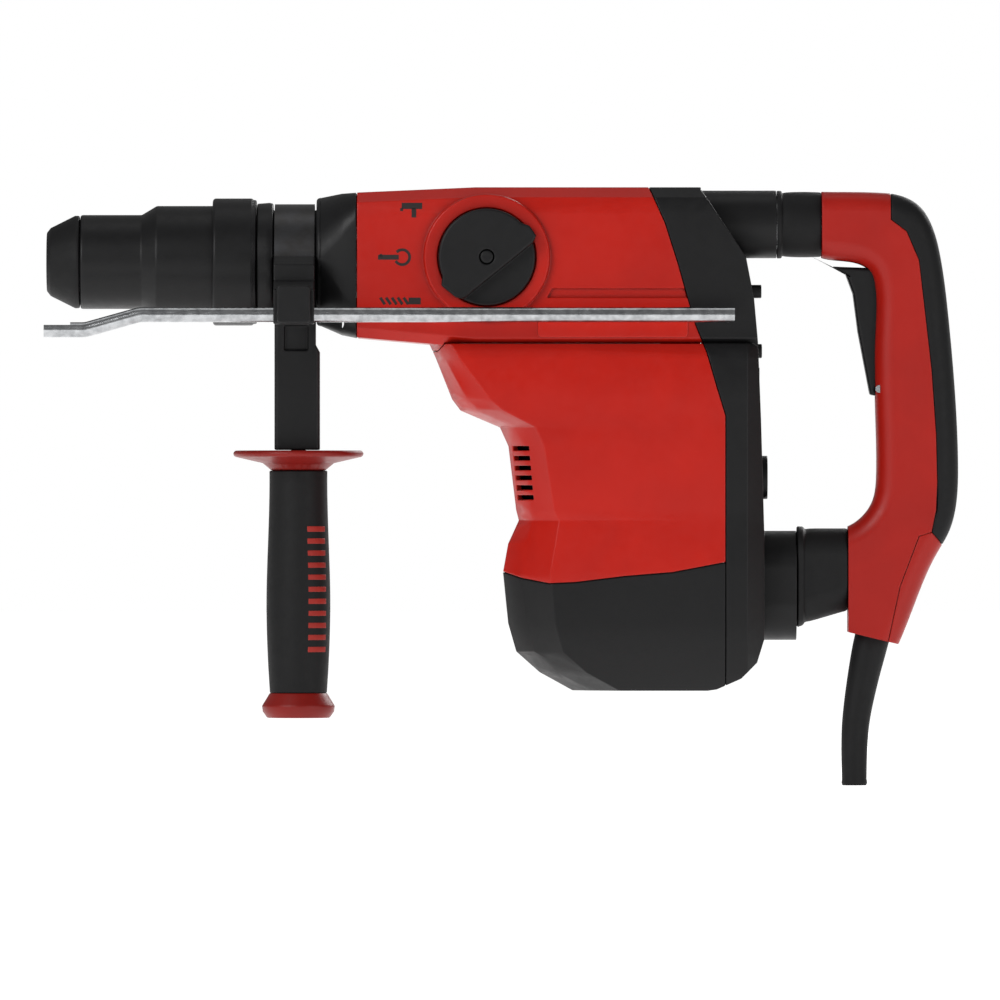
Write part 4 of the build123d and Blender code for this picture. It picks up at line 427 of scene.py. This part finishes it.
def raised_panel():
    """The plain pad: a rounded rectangle with a rolled edge, sunk a little into the flank."""
    left, right, low, high = 261.0, 340.5, -40.4, -30.2
    flank = -42.5
    corner, proud = 2.0, 0.55
    outline = []
    for x, z, start in ((right, high, 0), (left, high, 90), (left, low, 180), (right, low, 270)):
        inner_x = x - corner if x == right else x + corner
        inner_z = z - corner if z == high else z + corner
        outline += [(inner_x + corner * cos(radians(start + t)), inner_z + corner * sin(radians(start + t)))
                    for t in (0, 30, 60, 90)]
    middle_x, middle_z = (left + right) / 2, (low + high) / 2
    rings = [(0.0, 0.6), (0.0, -proud + 0.3), (0.1, -proud + 0.1), (0.4, -proud)]
    count = len(outline)
    points = []
    for inset, out in rings:
        for x, z in outline:
            reach = Vector((x - middle_x, z - middle_z))
            back = reach.normalized() * inset
            points.append(Vector((x - back.x, flank + out, z - back.y)) * MM)
    faces = [[j * count + k, j * count + (k + 1) % count, (j + 1) * count + (k + 1) % count, (j + 1) * count + k]
             for j in range(len(rings) - 1) for k in range(count)]
    faces += [list(reversed(range(count))), [(len(rings) - 1) * count + k for k in range(count)]]
    made = piece_from("hood_raised_panel", points, faces, polished_red)
    outward(made)
    smoothed(made, 50)
    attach(made, "main")


STROKE_STEP = 0.8
INK_LIFTS = (0.05, -0.02)
CAST_FROM_Y = -80.0


def pictogram(name, strokes, material):
    """Printed strokes, each (x0, z0, x1, z1, width) in millimetres, laid on the hood's flank."""
    surface = bpy.data.objects["gear_hood_shell"]
    points, faces = [], []
    for x0, z0, x1, z1, width in strokes:
        run = Vector((x1 - x0, z1 - z0))
        steps = max(1, int(run.length / STROKE_STEP))
        side = Vector((-run.y, run.x)).normalized() * width / 2
        for k in range(steps + 1):
            middle = Vector((x0, z0)) + run * k / steps
            for lift in INK_LIFTS:
                for sign in (-1, 1):
                    spot = middle + side * sign
                    cast_from = Vector((spot.x, CAST_FROM_Y, spot.y)) * MM
                    _, where, normal, _ = surface.ray_cast(cast_from, Vector((0, 1, 0)))
                    points.append(where + normal * lift * MM)
        first = len(points) - 4 * (steps + 1)
        for k in range(steps):
            a, b = first + 4 * k, first + 4 * (k + 1)
            faces += [[a, a + 1, b + 1, b], [a + 2, b + 2, b + 3, a + 3],
                      [a, b, b + 2, a + 2], [a + 1, a + 3, b + 3, b + 1]]
        end = first + 4 * steps
        faces += [[first, first + 2, first + 3, first + 1], [end, end + 1, end + 3, end + 2]]
    made = piece_from(name, points, faces, material)
    shape = bmesh.new()
    shape.from_mesh(made.data)
    bmesh.ops.recalc_face_normals(shape, faces=shape.faces)
    shape.to_mesh(made.data)
    shape.free()
    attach(made, "main")


printing_ink = inked("black_pad_printing_ink", srgb("#170C0B"))
raised_panel()

# a hammer head with its shaft, the same with a turning ring, and a twist drill
HAMMER = [(188.9, 29.2, 199.8, 29.2, 3.3), (188.9, 28.0, 188.9, 26.4, 1.6), (195.4, 27.9, 195.4, 23.0, 2.5)]
TURNING_HAMMER = [(176.4, 2.0, 187.4, 2.0, 2.6), (177.2, 2.9, 178.6, 2.9, 1.6)]
RING_X, RING_Z, RING_R, RING_LINE = 189.2, 2.0, 4.0, 1.5
TURNING_HAMMER += [(RING_X + RING_R * cos(radians(t)), RING_Z + RING_R * sin(radians(t)),
                    RING_X + RING_R * cos(radians(t + 24)), RING_Z + RING_R * sin(radians(t + 24)), RING_LINE)
                   for t in range(-150, 130, 22)]
DRILL = [(177.6 + 3.1 * k, -19.4, 180.0 + 3.1 * k, -23.0, 1.5) for k in range(5)]
DRILL += [(192.6, -21.2, 199.0, -21.2, 3.6)]
pictogram("print_hammer", HAMMER, printing_ink)
pictogram("print_hammer_turning", TURNING_HAMMER, printing_ink)
pictogram("print_turning", DRILL, printing_ink)


# ---- painted shade behind the louvres ------------------------------------------------------------
# A pleated sheet of black felt behind the two front facets of the motor housing: painted shade
# that makes the louvres read dark instead of letting light through them.
def plain_tree(name, sizes):
    """An empty Geometry Nodes tree with its named size inputs and its output."""
    tree = bpy.data.node_groups.new(name, "GeometryNodeTree")
    tree.is_modifier = True
    tree.interface.new_socket("Geometry", in_out="INPUT", socket_type="NodeSocketGeometry")
    for label, kind in sizes:
        tree.interface.new_socket(label, in_out="INPUT", socket_type=kind)
    tree.interface.new_socket("Geometry", in_out="OUTPUT", socket_type="NodeSocketGeometry")
    return tree


def made_by(tree, name, values, material):
    """A plain mesh object made by a Geometry Nodes tree with the given input values."""
    made = bpy.data.objects.new(name, bpy.data.meshes.new(name))
    bpy.context.scene.collection.objects.link(made)
    maker = made.modifiers.new(name, "NODES")
    maker.node_group = tree
    for label, value in values.items():
        maker[tree.interface.items_tree[label].identifier] = value
    applied(made)
    made.data.name = name
    if not made.data.materials:
        made.data.materials.append(material)
    return made


def pleat_tree(material):
    """A sheet folded into pleats: a flat grid whose rows step in and out."""
    tree = plain_tree("pleated_sheet", [("Width", "NodeSocketFloat"), ("Height", "NodeSocketFloat"),
                                        ("Pleat Pitch", "NodeSocketFloat"),
                                        ("Pleat Depth", "NodeSocketFloat"), ("Columns", "NodeSocketInt"),
                                        ("Rows", "NodeSocketInt")])
    given = add_node(tree, "NodeGroupInput")
    sheet = add_node(tree, "GeometryNodeMeshGrid", links={
        "Size X": given.outputs["Width"], "Size Y": given.outputs["Height"],
        "Vertices X": given.outputs["Columns"], "Vertices Y": given.outputs["Rows"]})
    spot = add_node(tree, "GeometryNodeInputPosition")
    part = add_node(tree, "ShaderNodeSeparateXYZ", links={"Vector": spot.outputs["Position"]})
    fold = add_node(tree, "ShaderNodeMath", operation="PINGPONG")
    tree.links.new(part.outputs["Y"], fold.inputs[0])
    tree.links.new(given.outputs["Pleat Pitch"], fold.inputs[1])
    share = add_node(tree, "ShaderNodeMath", operation="DIVIDE")
    tree.links.new(fold.outputs["Value"], share.inputs[0])
    tree.links.new(given.outputs["Pleat Pitch"], share.inputs[1])
    deep = add_node(tree, "ShaderNodeMath", operation="MULTIPLY")
    tree.links.new(share.outputs["Value"], deep.inputs[0])
    tree.links.new(given.outputs["Pleat Depth"], deep.inputs[1])
    shift = add_node(tree, "ShaderNodeCombineXYZ", links={"Z": deep.outputs["Value"]})
    folded = add_node(tree, "GeometryNodeSetPosition",
                      links={"Geometry": sheet.outputs["Mesh"], "Offset": shift.outputs["Vector"]})
    whole = add_node(tree, "GeometryNodeRealizeInstances", links={"Geometry": folded.outputs["Geometry"]})
    faced = add_node(tree, "GeometryNodeSetMaterial", {"Material": material},
                     {"Geometry": whole.outputs["Geometry"]})
    add_node(tree, "NodeGroupOutput", links={"Geometry": faced.outputs["Geometry"]})
    return tree


# dead black, fibrous felt: the sheet of painted shade behind the louvres
louvre_shade_felt = polymer("louvre_painted_shade_felt", srgb("#121213"), srgb("#0C0C0D"), 0.85, 0.25, 0.12,
                      srgb("#1C1C1D"), specular=0.1)
# height, and the front of the housing there
SHADE_SHEET_LEVELS = [(-92.0, 242.7), (-98.0, 245.5), (-132.0, 249.6), (-137.5, 251.0), (-150.0, 245.3),
                 (-165.0, 242.6), (-176.0, 243.8)]
# distance in from the front, and out from the middle, of the points that the dark shade sheet is bent round
SHADE_SHEET_PLAN = [(16.5, 33.5), (4.6, 16.0), (4.6, -16.0), (16.5, -33.5)]
SHADE_SHEET_TOP = -92.2
SHADE_SHEET_HEIGHT = 83.0
SHADE_SHEET_THICK = 0.6


def shade_sheet_place(along, z):
    """Point of the dark shade sheet a share of the way along its bent line, at a height."""
    for (z0, f0), (z1, f1) in zip(SHADE_SHEET_LEVELS, SHADE_SHEET_LEVELS[1:]):
        if z0 >= z >= z1:
            t = (z0 - z) / (z0 - z1)
            front = f0 + (f1 - f0) * t
            break
    spot = min(along * 3, 2.9999)
    k = int(spot)
    (xa, ya), (xb, yb) = SHADE_SHEET_PLAN[k], SHADE_SHEET_PLAN[k + 1]
    return front + xa + (xb - xa) * (spot - k), ya + (yb - ya) * (spot - k)


# painted shade: the black pleated sheet that darkens the view through the louvres
louvre_shade_sheet = made_by(pleat_tree(louvre_shade_felt), "louvre_painted_shade_sheet",
               {"Width": 1.0, "Height": SHADE_SHEET_HEIGHT, "Pleat Pitch": 1.6, "Pleat Depth": 1.3,
                "Columns": 25, "Rows": 105}, louvre_shade_felt)
for corner in louvre_shade_sheet.data.vertices:
    along, rise, depth = corner.co.x + 0.5, corner.co.y, corner.co.z
    z = SHADE_SHEET_TOP - (SHADE_SHEET_HEIGHT / 2 - rise)
    x, y = shade_sheet_place(along, z)
    corner.co = Vector((x + depth, y, z)) * MM
wall = louvre_shade_sheet.modifiers.new("shade_sheet_thickness", "SOLIDIFY")
wall.thickness = SHADE_SHEET_THICK * MM
wall.offset = 0.0
applied(louvre_shade_sheet)
outward(louvre_shade_sheet)
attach(louvre_shade_sheet, "main")

# a black rib in the middle plane, part of the same painted shade, that keeps the dark sheet off the front wall
RIB_PLAN = ((3.05, -0.8), (10.0, -0.8), (10.0, 0.8), (3.05, 0.8))
rib_sections = [[(front + deep, side, z) for deep, side in RIB_PLAN] for z, front in SHADE_SHEET_LEVELS]
rib_faces = [[4 * j + k, 4 * j + (k + 1) % 4, 4 * j + 4 + (k + 1) % 4, 4 * j + 4 + k]
             for j in range(len(rib_sections) - 1) for k in range(4)]
rib_faces += [[0, 1, 2, 3], [4 * len(rib_sections) - 4 + k for k in (3, 2, 1, 0)]]
rib_points = [Vector(p) * MM for section in rib_sections for p in section]
rib = piece_from("louvre_shade_rib", rib_points, rib_faces, black_nylon)
outward(rib)
edge = rib.modifiers.new("moulded_edges", "BEVEL")
edge.width, edge.segments = 0.3 * MM, 2
applied(rib)
smoothed(rib)
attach(rib, "main")


# ---- painted shade in the bottom cap's joint ------------------------------------------------------
# A thin black rubber strip that lies in the joint between the motor housing and the
# bottom cap: painted shade that makes the joint read dark instead of letting light through.
# height, front, half width and depth of the front facets of the housing round the joint
CAP_LEVELS = [(-150.0, 245.3, 48.5, 1.0), (-165.0, 242.6, 49.0, 1.0), (-192.0, 245.3, 49.0, 1.0)]
CAP_JOINT = [(230.0, -164.0), (243.5, -165.0), (252.7, -168.1), (267.1, -170.8), (280.9, -170.2), (307.0, -167.0),
             (332.5, -164.9), (360.5, -159.6)]
SEAM_SHADE_END = 359.6
# how far inside the housing's outline the dark strip's outer and inner edges lie, and half its thickness
SEAM_SHADE_EDGES = (0.7, 2.6)
SEAM_SHADE_HALF = 0.19


def joint_height(x):
    """Height of the joint's line at x."""
    for (x0, z0), (x1, z1) in zip(CAP_JOINT, CAP_JOINT[1:]):
        if x <= x1:
            return z0 + (z1 - z0) * (x - x0) / (x1 - x0)
    return CAP_JOINT[-1][1]


def housing_outline(z, inset):
    """Half of the housing's plan at a height, from the middle of the front to the dark strip's end."""
    for low, high in zip(CAP_LEVELS[1:], CAP_LEVELS):
        if high[0] >= z >= low[0]:
            t = (high[0] - z) / (high[0] - low[0])
            front, half, facet = [a + (b - a) * t for a, b in zip(high[1:], low[1:])]
    x, h = front + inset, half - inset
    return [(x, 0.0), (x, 0.4 * h), (x + 9.7 * facet, 0.72 * h), (x + 25 * facet, h), (SEAM_SHADE_END, h)]


def seam_shade_line(inset):
    """The dark strip's edge at an inset, as points that follow the joint's line."""
    half_line = []
    plan = housing_outline(-167.0, inset)
    for (xa, ya), (xb, yb) in zip(plan, plan[1:]):
        parts = max(2, int(sqrt((xb - xa) ** 2 + (yb - ya) ** 2) / 3.0))
        half_line += [(xa + (xb - xa) * k / parts, ya + (yb - ya) * k / parts) for k in range(parts)]
    half_line.append(plan[-1])
    return [(x, -y) for x, y in reversed(half_line[1:])] + half_line


seam_shade_outer, seam_shade_inner = [seam_shade_line(inset) for inset in SEAM_SHADE_EDGES]
count = min(len(seam_shade_outer), len(seam_shade_inner))
seam_shade_points = []
for (xo, yo), (xi, yi) in zip(seam_shade_outer, seam_shade_inner):
    for x, y, lift in ((xo, yo, SEAM_SHADE_HALF), (xo, yo, -SEAM_SHADE_HALF), (xi, yi, -SEAM_SHADE_HALF),
                       (xi, yi, SEAM_SHADE_HALF)):
        seam_shade_points.append(Vector((x, y, joint_height(xo) + lift)) * MM)
seam_shade_faces = [[4 * j + k, 4 * j + (k + 1) % 4, 4 * j + 4 + (k + 1) % 4, 4 * j + 4 + k]
                for j in range(count - 1) for k in range(4)]
seam_shade_faces += [[0, 1, 2, 3], [4 * count - 4 + k for k in (3, 2, 1, 0)]]
# matt black rubber: the strip of painted shade in the joint
seam_shade_rubber = polymer("painted_shade_seam_rubber", srgb("#0E0E0F"), srgb("#0A0A0B"), 0.7, 0.3, 0.02,
                        srgb("#1A1A1B"), specular=0.2)
# painted shade: the thin black strip laid along the joint's line
seam_shade_strip = piece_from("bottom_cap_seam_shade", seam_shade_points, seam_shade_faces, seam_shade_rubber)
outward(seam_shade_strip)
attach(seam_shade_strip, "main")


# ---- black housings ---------------------------------------------------------------------------
# Front cone, rear cover and bottom cap in black glass-filled nylon, screwed to the red
# housings with a narrow shadow joint all round. Recessed black-oxide screws hold the cover.
rounded("front_housing", "front_cone", 0.5, black_nylon)
rounded("rear_cover", "rear_cover_shell", 0.4, black_nylon)
rounded("bottom_cap", "bottom_cap_shell", 0.4, black_nylon)
dress(["case_screws", "handle_screws"], phosphated_steel)


# ---- selector knob ----------------------------------------------------------------------------
# Turned and moulded nylon knob in the hood's round bezel, with a wing to grip and a small
# lock button in its middle.
rounded("mode_knob", "selector_knob", 0.6, black_nylon)
rounded("knob_button", "selector_button", 0.3, black_nylon)


# ---- chuck ------------------------------------------------------------------------------------
# Nylon locking sleeve and ring round a hardened, phosphated tool holder, closed in front by
# a rubber dust cap that is pressed over the holder.
# nitrile rubber: matt, deep black, with a fine pebble
black_rubber = polymer("black_nitrile_rubber", srgb("#0D0D0E"), srgb("#0A0A0B"), 0.58, 0.8, 0.06,
                       srgb("#222223"), specular=0.2)
rounded("nose_ring", "nose_ring_shell", 0.6, black_nylon)
rounded("lock_sleeve", "lock_sleeve_shell", 0.6, black_nylon)
rounded("dust_cap", "dust_cap_rubber", 0.8, black_rubber)
dress(["tool_spindle"], phosphated_steel)
dress(["lock_roller_upper", "lock_roller_lower"], zinc_steel)


def coil(node, name):
    """A compression spring: the CAD node's own coil, smooth-shaded and fixed to the main body."""
    shape = merged(node)
    mesh = bpy.data.meshes.new(name)
    shape.to_mesh(mesh)
    shape.free()
    mesh.materials.append(zinc_steel)
    made = bpy.data.objects.new(name, mesh)
    bpy.context.scene.collection.objects.link(made)
    smoothed(made, 50)
    applied(made)
    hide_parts(node)
    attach(made, "main")
    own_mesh(made)


coil("sleeve_spring", "sleeve_return_spring")


# ---- sprung rear handle -----------------------------------------------------------------------
# Two red nylon half shells with a rubber palm pad, hung on a pivot at the bottom and a
# spring-loaded plunger at the top. A nylon trigger lever works the switch inside.
# the handle's nylon is a tougher grade, a shade deeper and less glossy
handle_nylon = polymer("red_impact_nylon", srgb("#96140A"), srgb("#861008"), 0.4, 0.6, 0.04, srgb("#A83A2E"),
                       specular=0.24, scuff=0.35)
dress(["handle_front_shell"], handle_nylon)
rounded("handle_rear_shell", "handle_shell_rear", 0.6, handle_nylon)
rounded("handle_pad", "handle_palm_pad", 0.6, black_rubber)
rounded("trigger", "trigger_lever", 0.8, black_nylon)
dress(["damper_plunger", "handle_pins"], zinc_steel)
coil("damper_spring", "handle_damper_spring")
dress(["power_switch"], black_nylon)


# ---- bellows and cord guard --------------------------------------------------------------------
# Soft nitrile sleeves that close the two gaps between the body and the sprung handle, and the
# tapered sleeve that keeps the cord from kinking. Each is a closed wall about 2 mm thick.
def tube_wall(name, outer, inner, material):
    """A closed sleeve from rings of points, outside then inside, each ring the same length."""
    rings = outer + list(reversed(inner))
    count = len(rings[0])
    points = [p * MM for ring in rings for p in ring]
    faces = []
    for j in range(len(rings)):
        after = (j + 1) % len(rings)
        for k in range(count):
            far = (k + 1) % count
            faces.append([j * count + k, j * count + far, after * count + far, after * count + k])
    made = piece_from(name, points, faces, material)
    outward(made)
    smoothed(made, 50)
    return made


RING_POINTS = 72


def round_ring(x, middle_z, radius):
    """A round ring that stands across the tool at x."""
    turns = [2 * pi * k / RING_POINTS for k in range(RING_POINTS)]
    return [Vector((x, radius * sin(turn), middle_z + radius * cos(turn))) for turn in turns]


def square_ring(x, middle_z, wide, high, corner):
    """A rounded rectangle that stands across the tool at x."""
    ring = []
    per = RING_POINTS // 4
    for turn, (sy, sz) in enumerate(((1, 1), (-1, 1), (-1, -1), (1, -1))):
        for k in range(per):
            angle = radians(90 * turn) + radians(90) * k / (per - 1)
            ring.append(Vector((x, sy * (wide / 2 - corner) + corner * cos(angle),
                                middle_z + sz * (high / 2 - corner) + corner * sin(angle))))
    return ring


# x, radius: a bead that grips the tube, a waist, and a lip on the handle
UPPER_SLEEVE = [(388.3, 17.2), (388.3, 17.9), (389.0, 18.0), (390.2, 18.0), (390.8, 17.6), (391.0, 16.9),
                (391.4, 16.8), (393.0, 17.1), (396.0, 17.3), (400.0, 17.4), (404.0, 17.4), (408.0, 17.3),
                (411.0, 17.2), (411.7, 16.9)]
TUBE_Z = 19.9
SLEEVE_WALL = 1.6
SLEEVE_BORE = 15.4
upper = tube_wall("damper_sleeve_rubber", [round_ring(x, TUBE_Z, r) for x, r in UPPER_SLEEVE],
                  [round_ring(x, TUBE_Z, min(r - SLEEVE_WALL, SLEEVE_BORE)) for x, r in UPPER_SLEEVE], black_rubber)
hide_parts("upper_bellows")
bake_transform(upper)

# share of the way back, and how far the rubber lies inside the sleeve's outline there
LOWER_STEPS = [(0.0, 0.6), (0.02, 0.0), (0.10, 0.0), (0.13, 0.5), (0.15, 1.2), (0.18, 1.3), (0.25, 1.0),
               (0.4, 0.8), (0.55, 0.7), (0.7, 0.6), (0.85, 0.5), (0.96, 0.4), (1.0, 0.8)]
LOWER_WALL = 2.4


def lower_ring(share, sunk):
    """Ring of the pivot's sleeve a share of the way back, sunk below the CAD's outline."""
    x = 398.9 + 26.8 * share
    return square_ring(x, -167.4 + 3.9 * share, 46 - 9 * share - 2 * sunk, 53.6 - 9.2 * share - 2 * sunk, 14.0)


lower = tube_wall("pivot_sleeve_rubber", [lower_ring(t, sunk) for t, sunk in LOWER_STEPS],
                  [lower_ring(t, LOWER_WALL) for t, _ in LOWER_STEPS], black_rubber)
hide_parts("lower_bellows")
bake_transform(lower)

GUARD_PATH = [(441.5, -190.0), (437.9, -204.0), (433.9, -222.4), (430.6, -242.0), (429.5, -258.0), (429.5, -278.4)]
GUARD_SIZES = [9.2, 9.2, 8.3, 7.4, 7.0, 6.5]
GUARD_BORE = 4.7
GUARD_STEPS = 44
GUARD_POINTS = 48


def eased(values, share):
    """A smooth value a share of the way through a row of values."""
    spot = min(share * (len(values) - 1), len(values) - 1.0001)
    k = int(spot)
    t = spot - k
    a, b, c, d = values[max(k - 1, 0)], values[k], values[k + 1], values[min(k + 2, len(values) - 1)]
    return b + 0.5 * t * (c - a + t * (2 * a - 5 * b + 4 * c - d + t * (3 * (b - c) + d - a)))


def guard_spot(share):
    """Point of the guard's middle line a share of the way down."""
    return Vector((eased([p[0] for p in GUARD_PATH], share), 0, eased([p[1] for p in GUARD_PATH], share)))


def guard_ring(share, radius):
    """A ring across the guard's bent line."""
    run = (guard_spot(min(share + 0.01, 1)) - guard_spot(max(share - 0.01, 0))).normalized()
    across = Vector((run.z, 0, -run.x))
    turns = [2 * pi * k / GUARD_POINTS for k in range(GUARD_POINTS)]
    return [guard_spot(share) + across * radius * cos(turn) + Vector((0, radius * sin(turn), 0)) for turn in turns]


def guard_radius(share):
    """Outer radius: a taper with a small bead round the mouth, eased in at its very end."""
    bead = 0.35 if share >= 0.965 else 0.0
    return eased(GUARD_SIZES, share) + bead - (0.5 if share > 0.99 else 0.0)


steps = [k / GUARD_STEPS for k in range(GUARD_STEPS + 1)]
guard = tube_wall("cord_guard_rubber", [guard_ring(t, guard_radius(t)) for t in steps],
                  [guard_ring(t, GUARD_BORE) for t in steps], black_rubber)
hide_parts("cord_guard")
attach(guard, "rear_handle")


# ---- side handle and depth rod ----------------------------------------------------------------
# A steel band and clamp bolt hold the moulded arm to the neck; the red grip core turns in it
# under a rubber sleeve. A round notched steel rod slides in the clamp as the depth stop.
rounded("handle_arm", "side_handle_arm", 0.8, black_nylon)
rounded("depth_clamp", "depth_rod_clamp", 0.6, black_nylon)
rounded("depth_button", "depth_rod_button", 0.5, black_nylon)
# darker, softer red for the turning core, which the hand polishes
core_nylon = polymer("dark_red_nylon", srgb("#76120C"), srgb("#640E09"), 0.4, 0.6, 0.035, srgb("#8E342A"),
                     specular=0.24, scuff=0.3)
rounded("grip_core", "grip_core_flanges", 0.6, core_nylon)
rounded("grip_sleeve", "grip_sleeve_rubber", 0.6, black_rubber)
dress(["handle_strap", "clamp_bolt"], phosphated_steel)
# drawn round bar, zinc-plated: brighter, with draw lines along it
bright_bar = metal("zinc_plated_drawn_bar", srgb("#B4B6B8"), 0.2, (4.0, 0.45, 0.45), 0.05, srgb("#55575A"), 4.0)
dress(["depth_rod"], bright_bar)


# ---- inlaid bars of the side grip ----------------------------------------------------------------
# A column of short plain bars in red thermoplastic, moulded flush into the grip's sleeve so
# that the hand feels which way it is turned.
def inlay_tree(material):
    """Equal bars in a straight column."""
    tree = plain_tree("inlay_column", [("Bars", "NodeSocketInt"), ("Pitch", "NodeSocketFloat"),
                                       ("Bar Length", "NodeSocketFloat"),
                                       ("Bar Height", "NodeSocketFloat"), ("Bar Depth", "NodeSocketFloat")])
    given = add_node(tree, "NodeGroupInput")
    size = add_node(tree, "ShaderNodeCombineXYZ", links={
        "X": given.outputs["Bar Length"], "Y": given.outputs["Bar Depth"], "Z": given.outputs["Bar Height"]})
    bar = add_node(tree, "GeometryNodeMeshCube", {"Vertices X": 7, "Vertices Y": 2, "Vertices Z": 2},
                   {"Size": size.outputs["Vector"]})
    down = add_node(tree, "ShaderNodeMath", {1: -1.0}, {0: given.outputs["Pitch"]}, operation="MULTIPLY")
    step = add_node(tree, "ShaderNodeCombineXYZ", links={"Z": down.outputs["Value"]})
    column = add_node(tree, "GeometryNodeMeshLine",
                      links={"Count": given.outputs["Bars"], "Offset": step.outputs["Vector"]})
    placed = add_node(tree, "GeometryNodeInstanceOnPoints",
                      links={"Points": column.outputs["Mesh"], "Instance": bar.outputs["Mesh"]})
    whole = add_node(tree, "GeometryNodeRealizeInstances", links={"Geometry": placed.outputs["Instances"]})
    faced = add_node(tree, "GeometryNodeSetMaterial", {"Material": material},
                     {"Geometry": whole.outputs["Geometry"]})
    add_node(tree, "NodeGroupOutput", links={"Geometry": faced.outputs["Geometry"]})
    return tree


# soft thermoplastic, red: matt, a little darker than the shells
red_inlay = polymer("red_thermoplastic_rubber", srgb("#8E1C12"), srgb("#7C160D"), 0.55, 0.5, 0.04,
                    srgb("#A8483E"), specular=0.3)
GRIP_AXIS_X = 133.75
INLAY_TURN = 40.0
# height and radius of the sleeve, from the top down
SLEEVE_LINE = [(-111.0, 15.4), (-130.0, 15.8), (-150.0, 16.2), (-165.0, 16.7), (-180.0, 17.0),
               (-195.0, 16.85), (-208.0, 16.4), (-229.0, 15.2)]
FIRST_BAR_Z = -142.0
BAR_DEPTH = 1.0
BAR_PROUD = 0.12


def sleeve_radius(z):
    """Radius of the grip's sleeve at a height."""
    for (z0, r0), (z1, r1) in zip(SLEEVE_LINE, SLEEVE_LINE[1:]):
        if z0 >= z >= z1:
            return r0 + (r1 - r0) * (z0 - z) / (z0 - z1)


bars = made_by(inlay_tree(red_inlay), "grip_inlay_bars",
               {"Bars": 11, "Pitch": 6.4, "Bar Length": 12.5, "Bar Height": 3.0, "Bar Depth": BAR_DEPTH}, red_inlay)
for corner in bars.data.vertices:
    z = FIRST_BAR_Z + corner.co.z
    reach = sleeve_radius(z) + BAR_PROUD - BAR_DEPTH / 2 - corner.co.y
    angle = radians(INLAY_TURN) + corner.co.x / sleeve_radius(z)
    corner.co = Vector((GRIP_AXIS_X + reach * sin(angle), -reach * cos(angle), z)) * MM
outward(bars)
edge = bars.modifiers.new("soft_bar_edges", "BEVEL")
edge.width, edge.segments, edge.limit_method, edge.angle_limit = 0.3 * MM, 2, "ANGLE", radians(40)
applied(bars)
smoothed(bars, 40)
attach(bars, "grip")
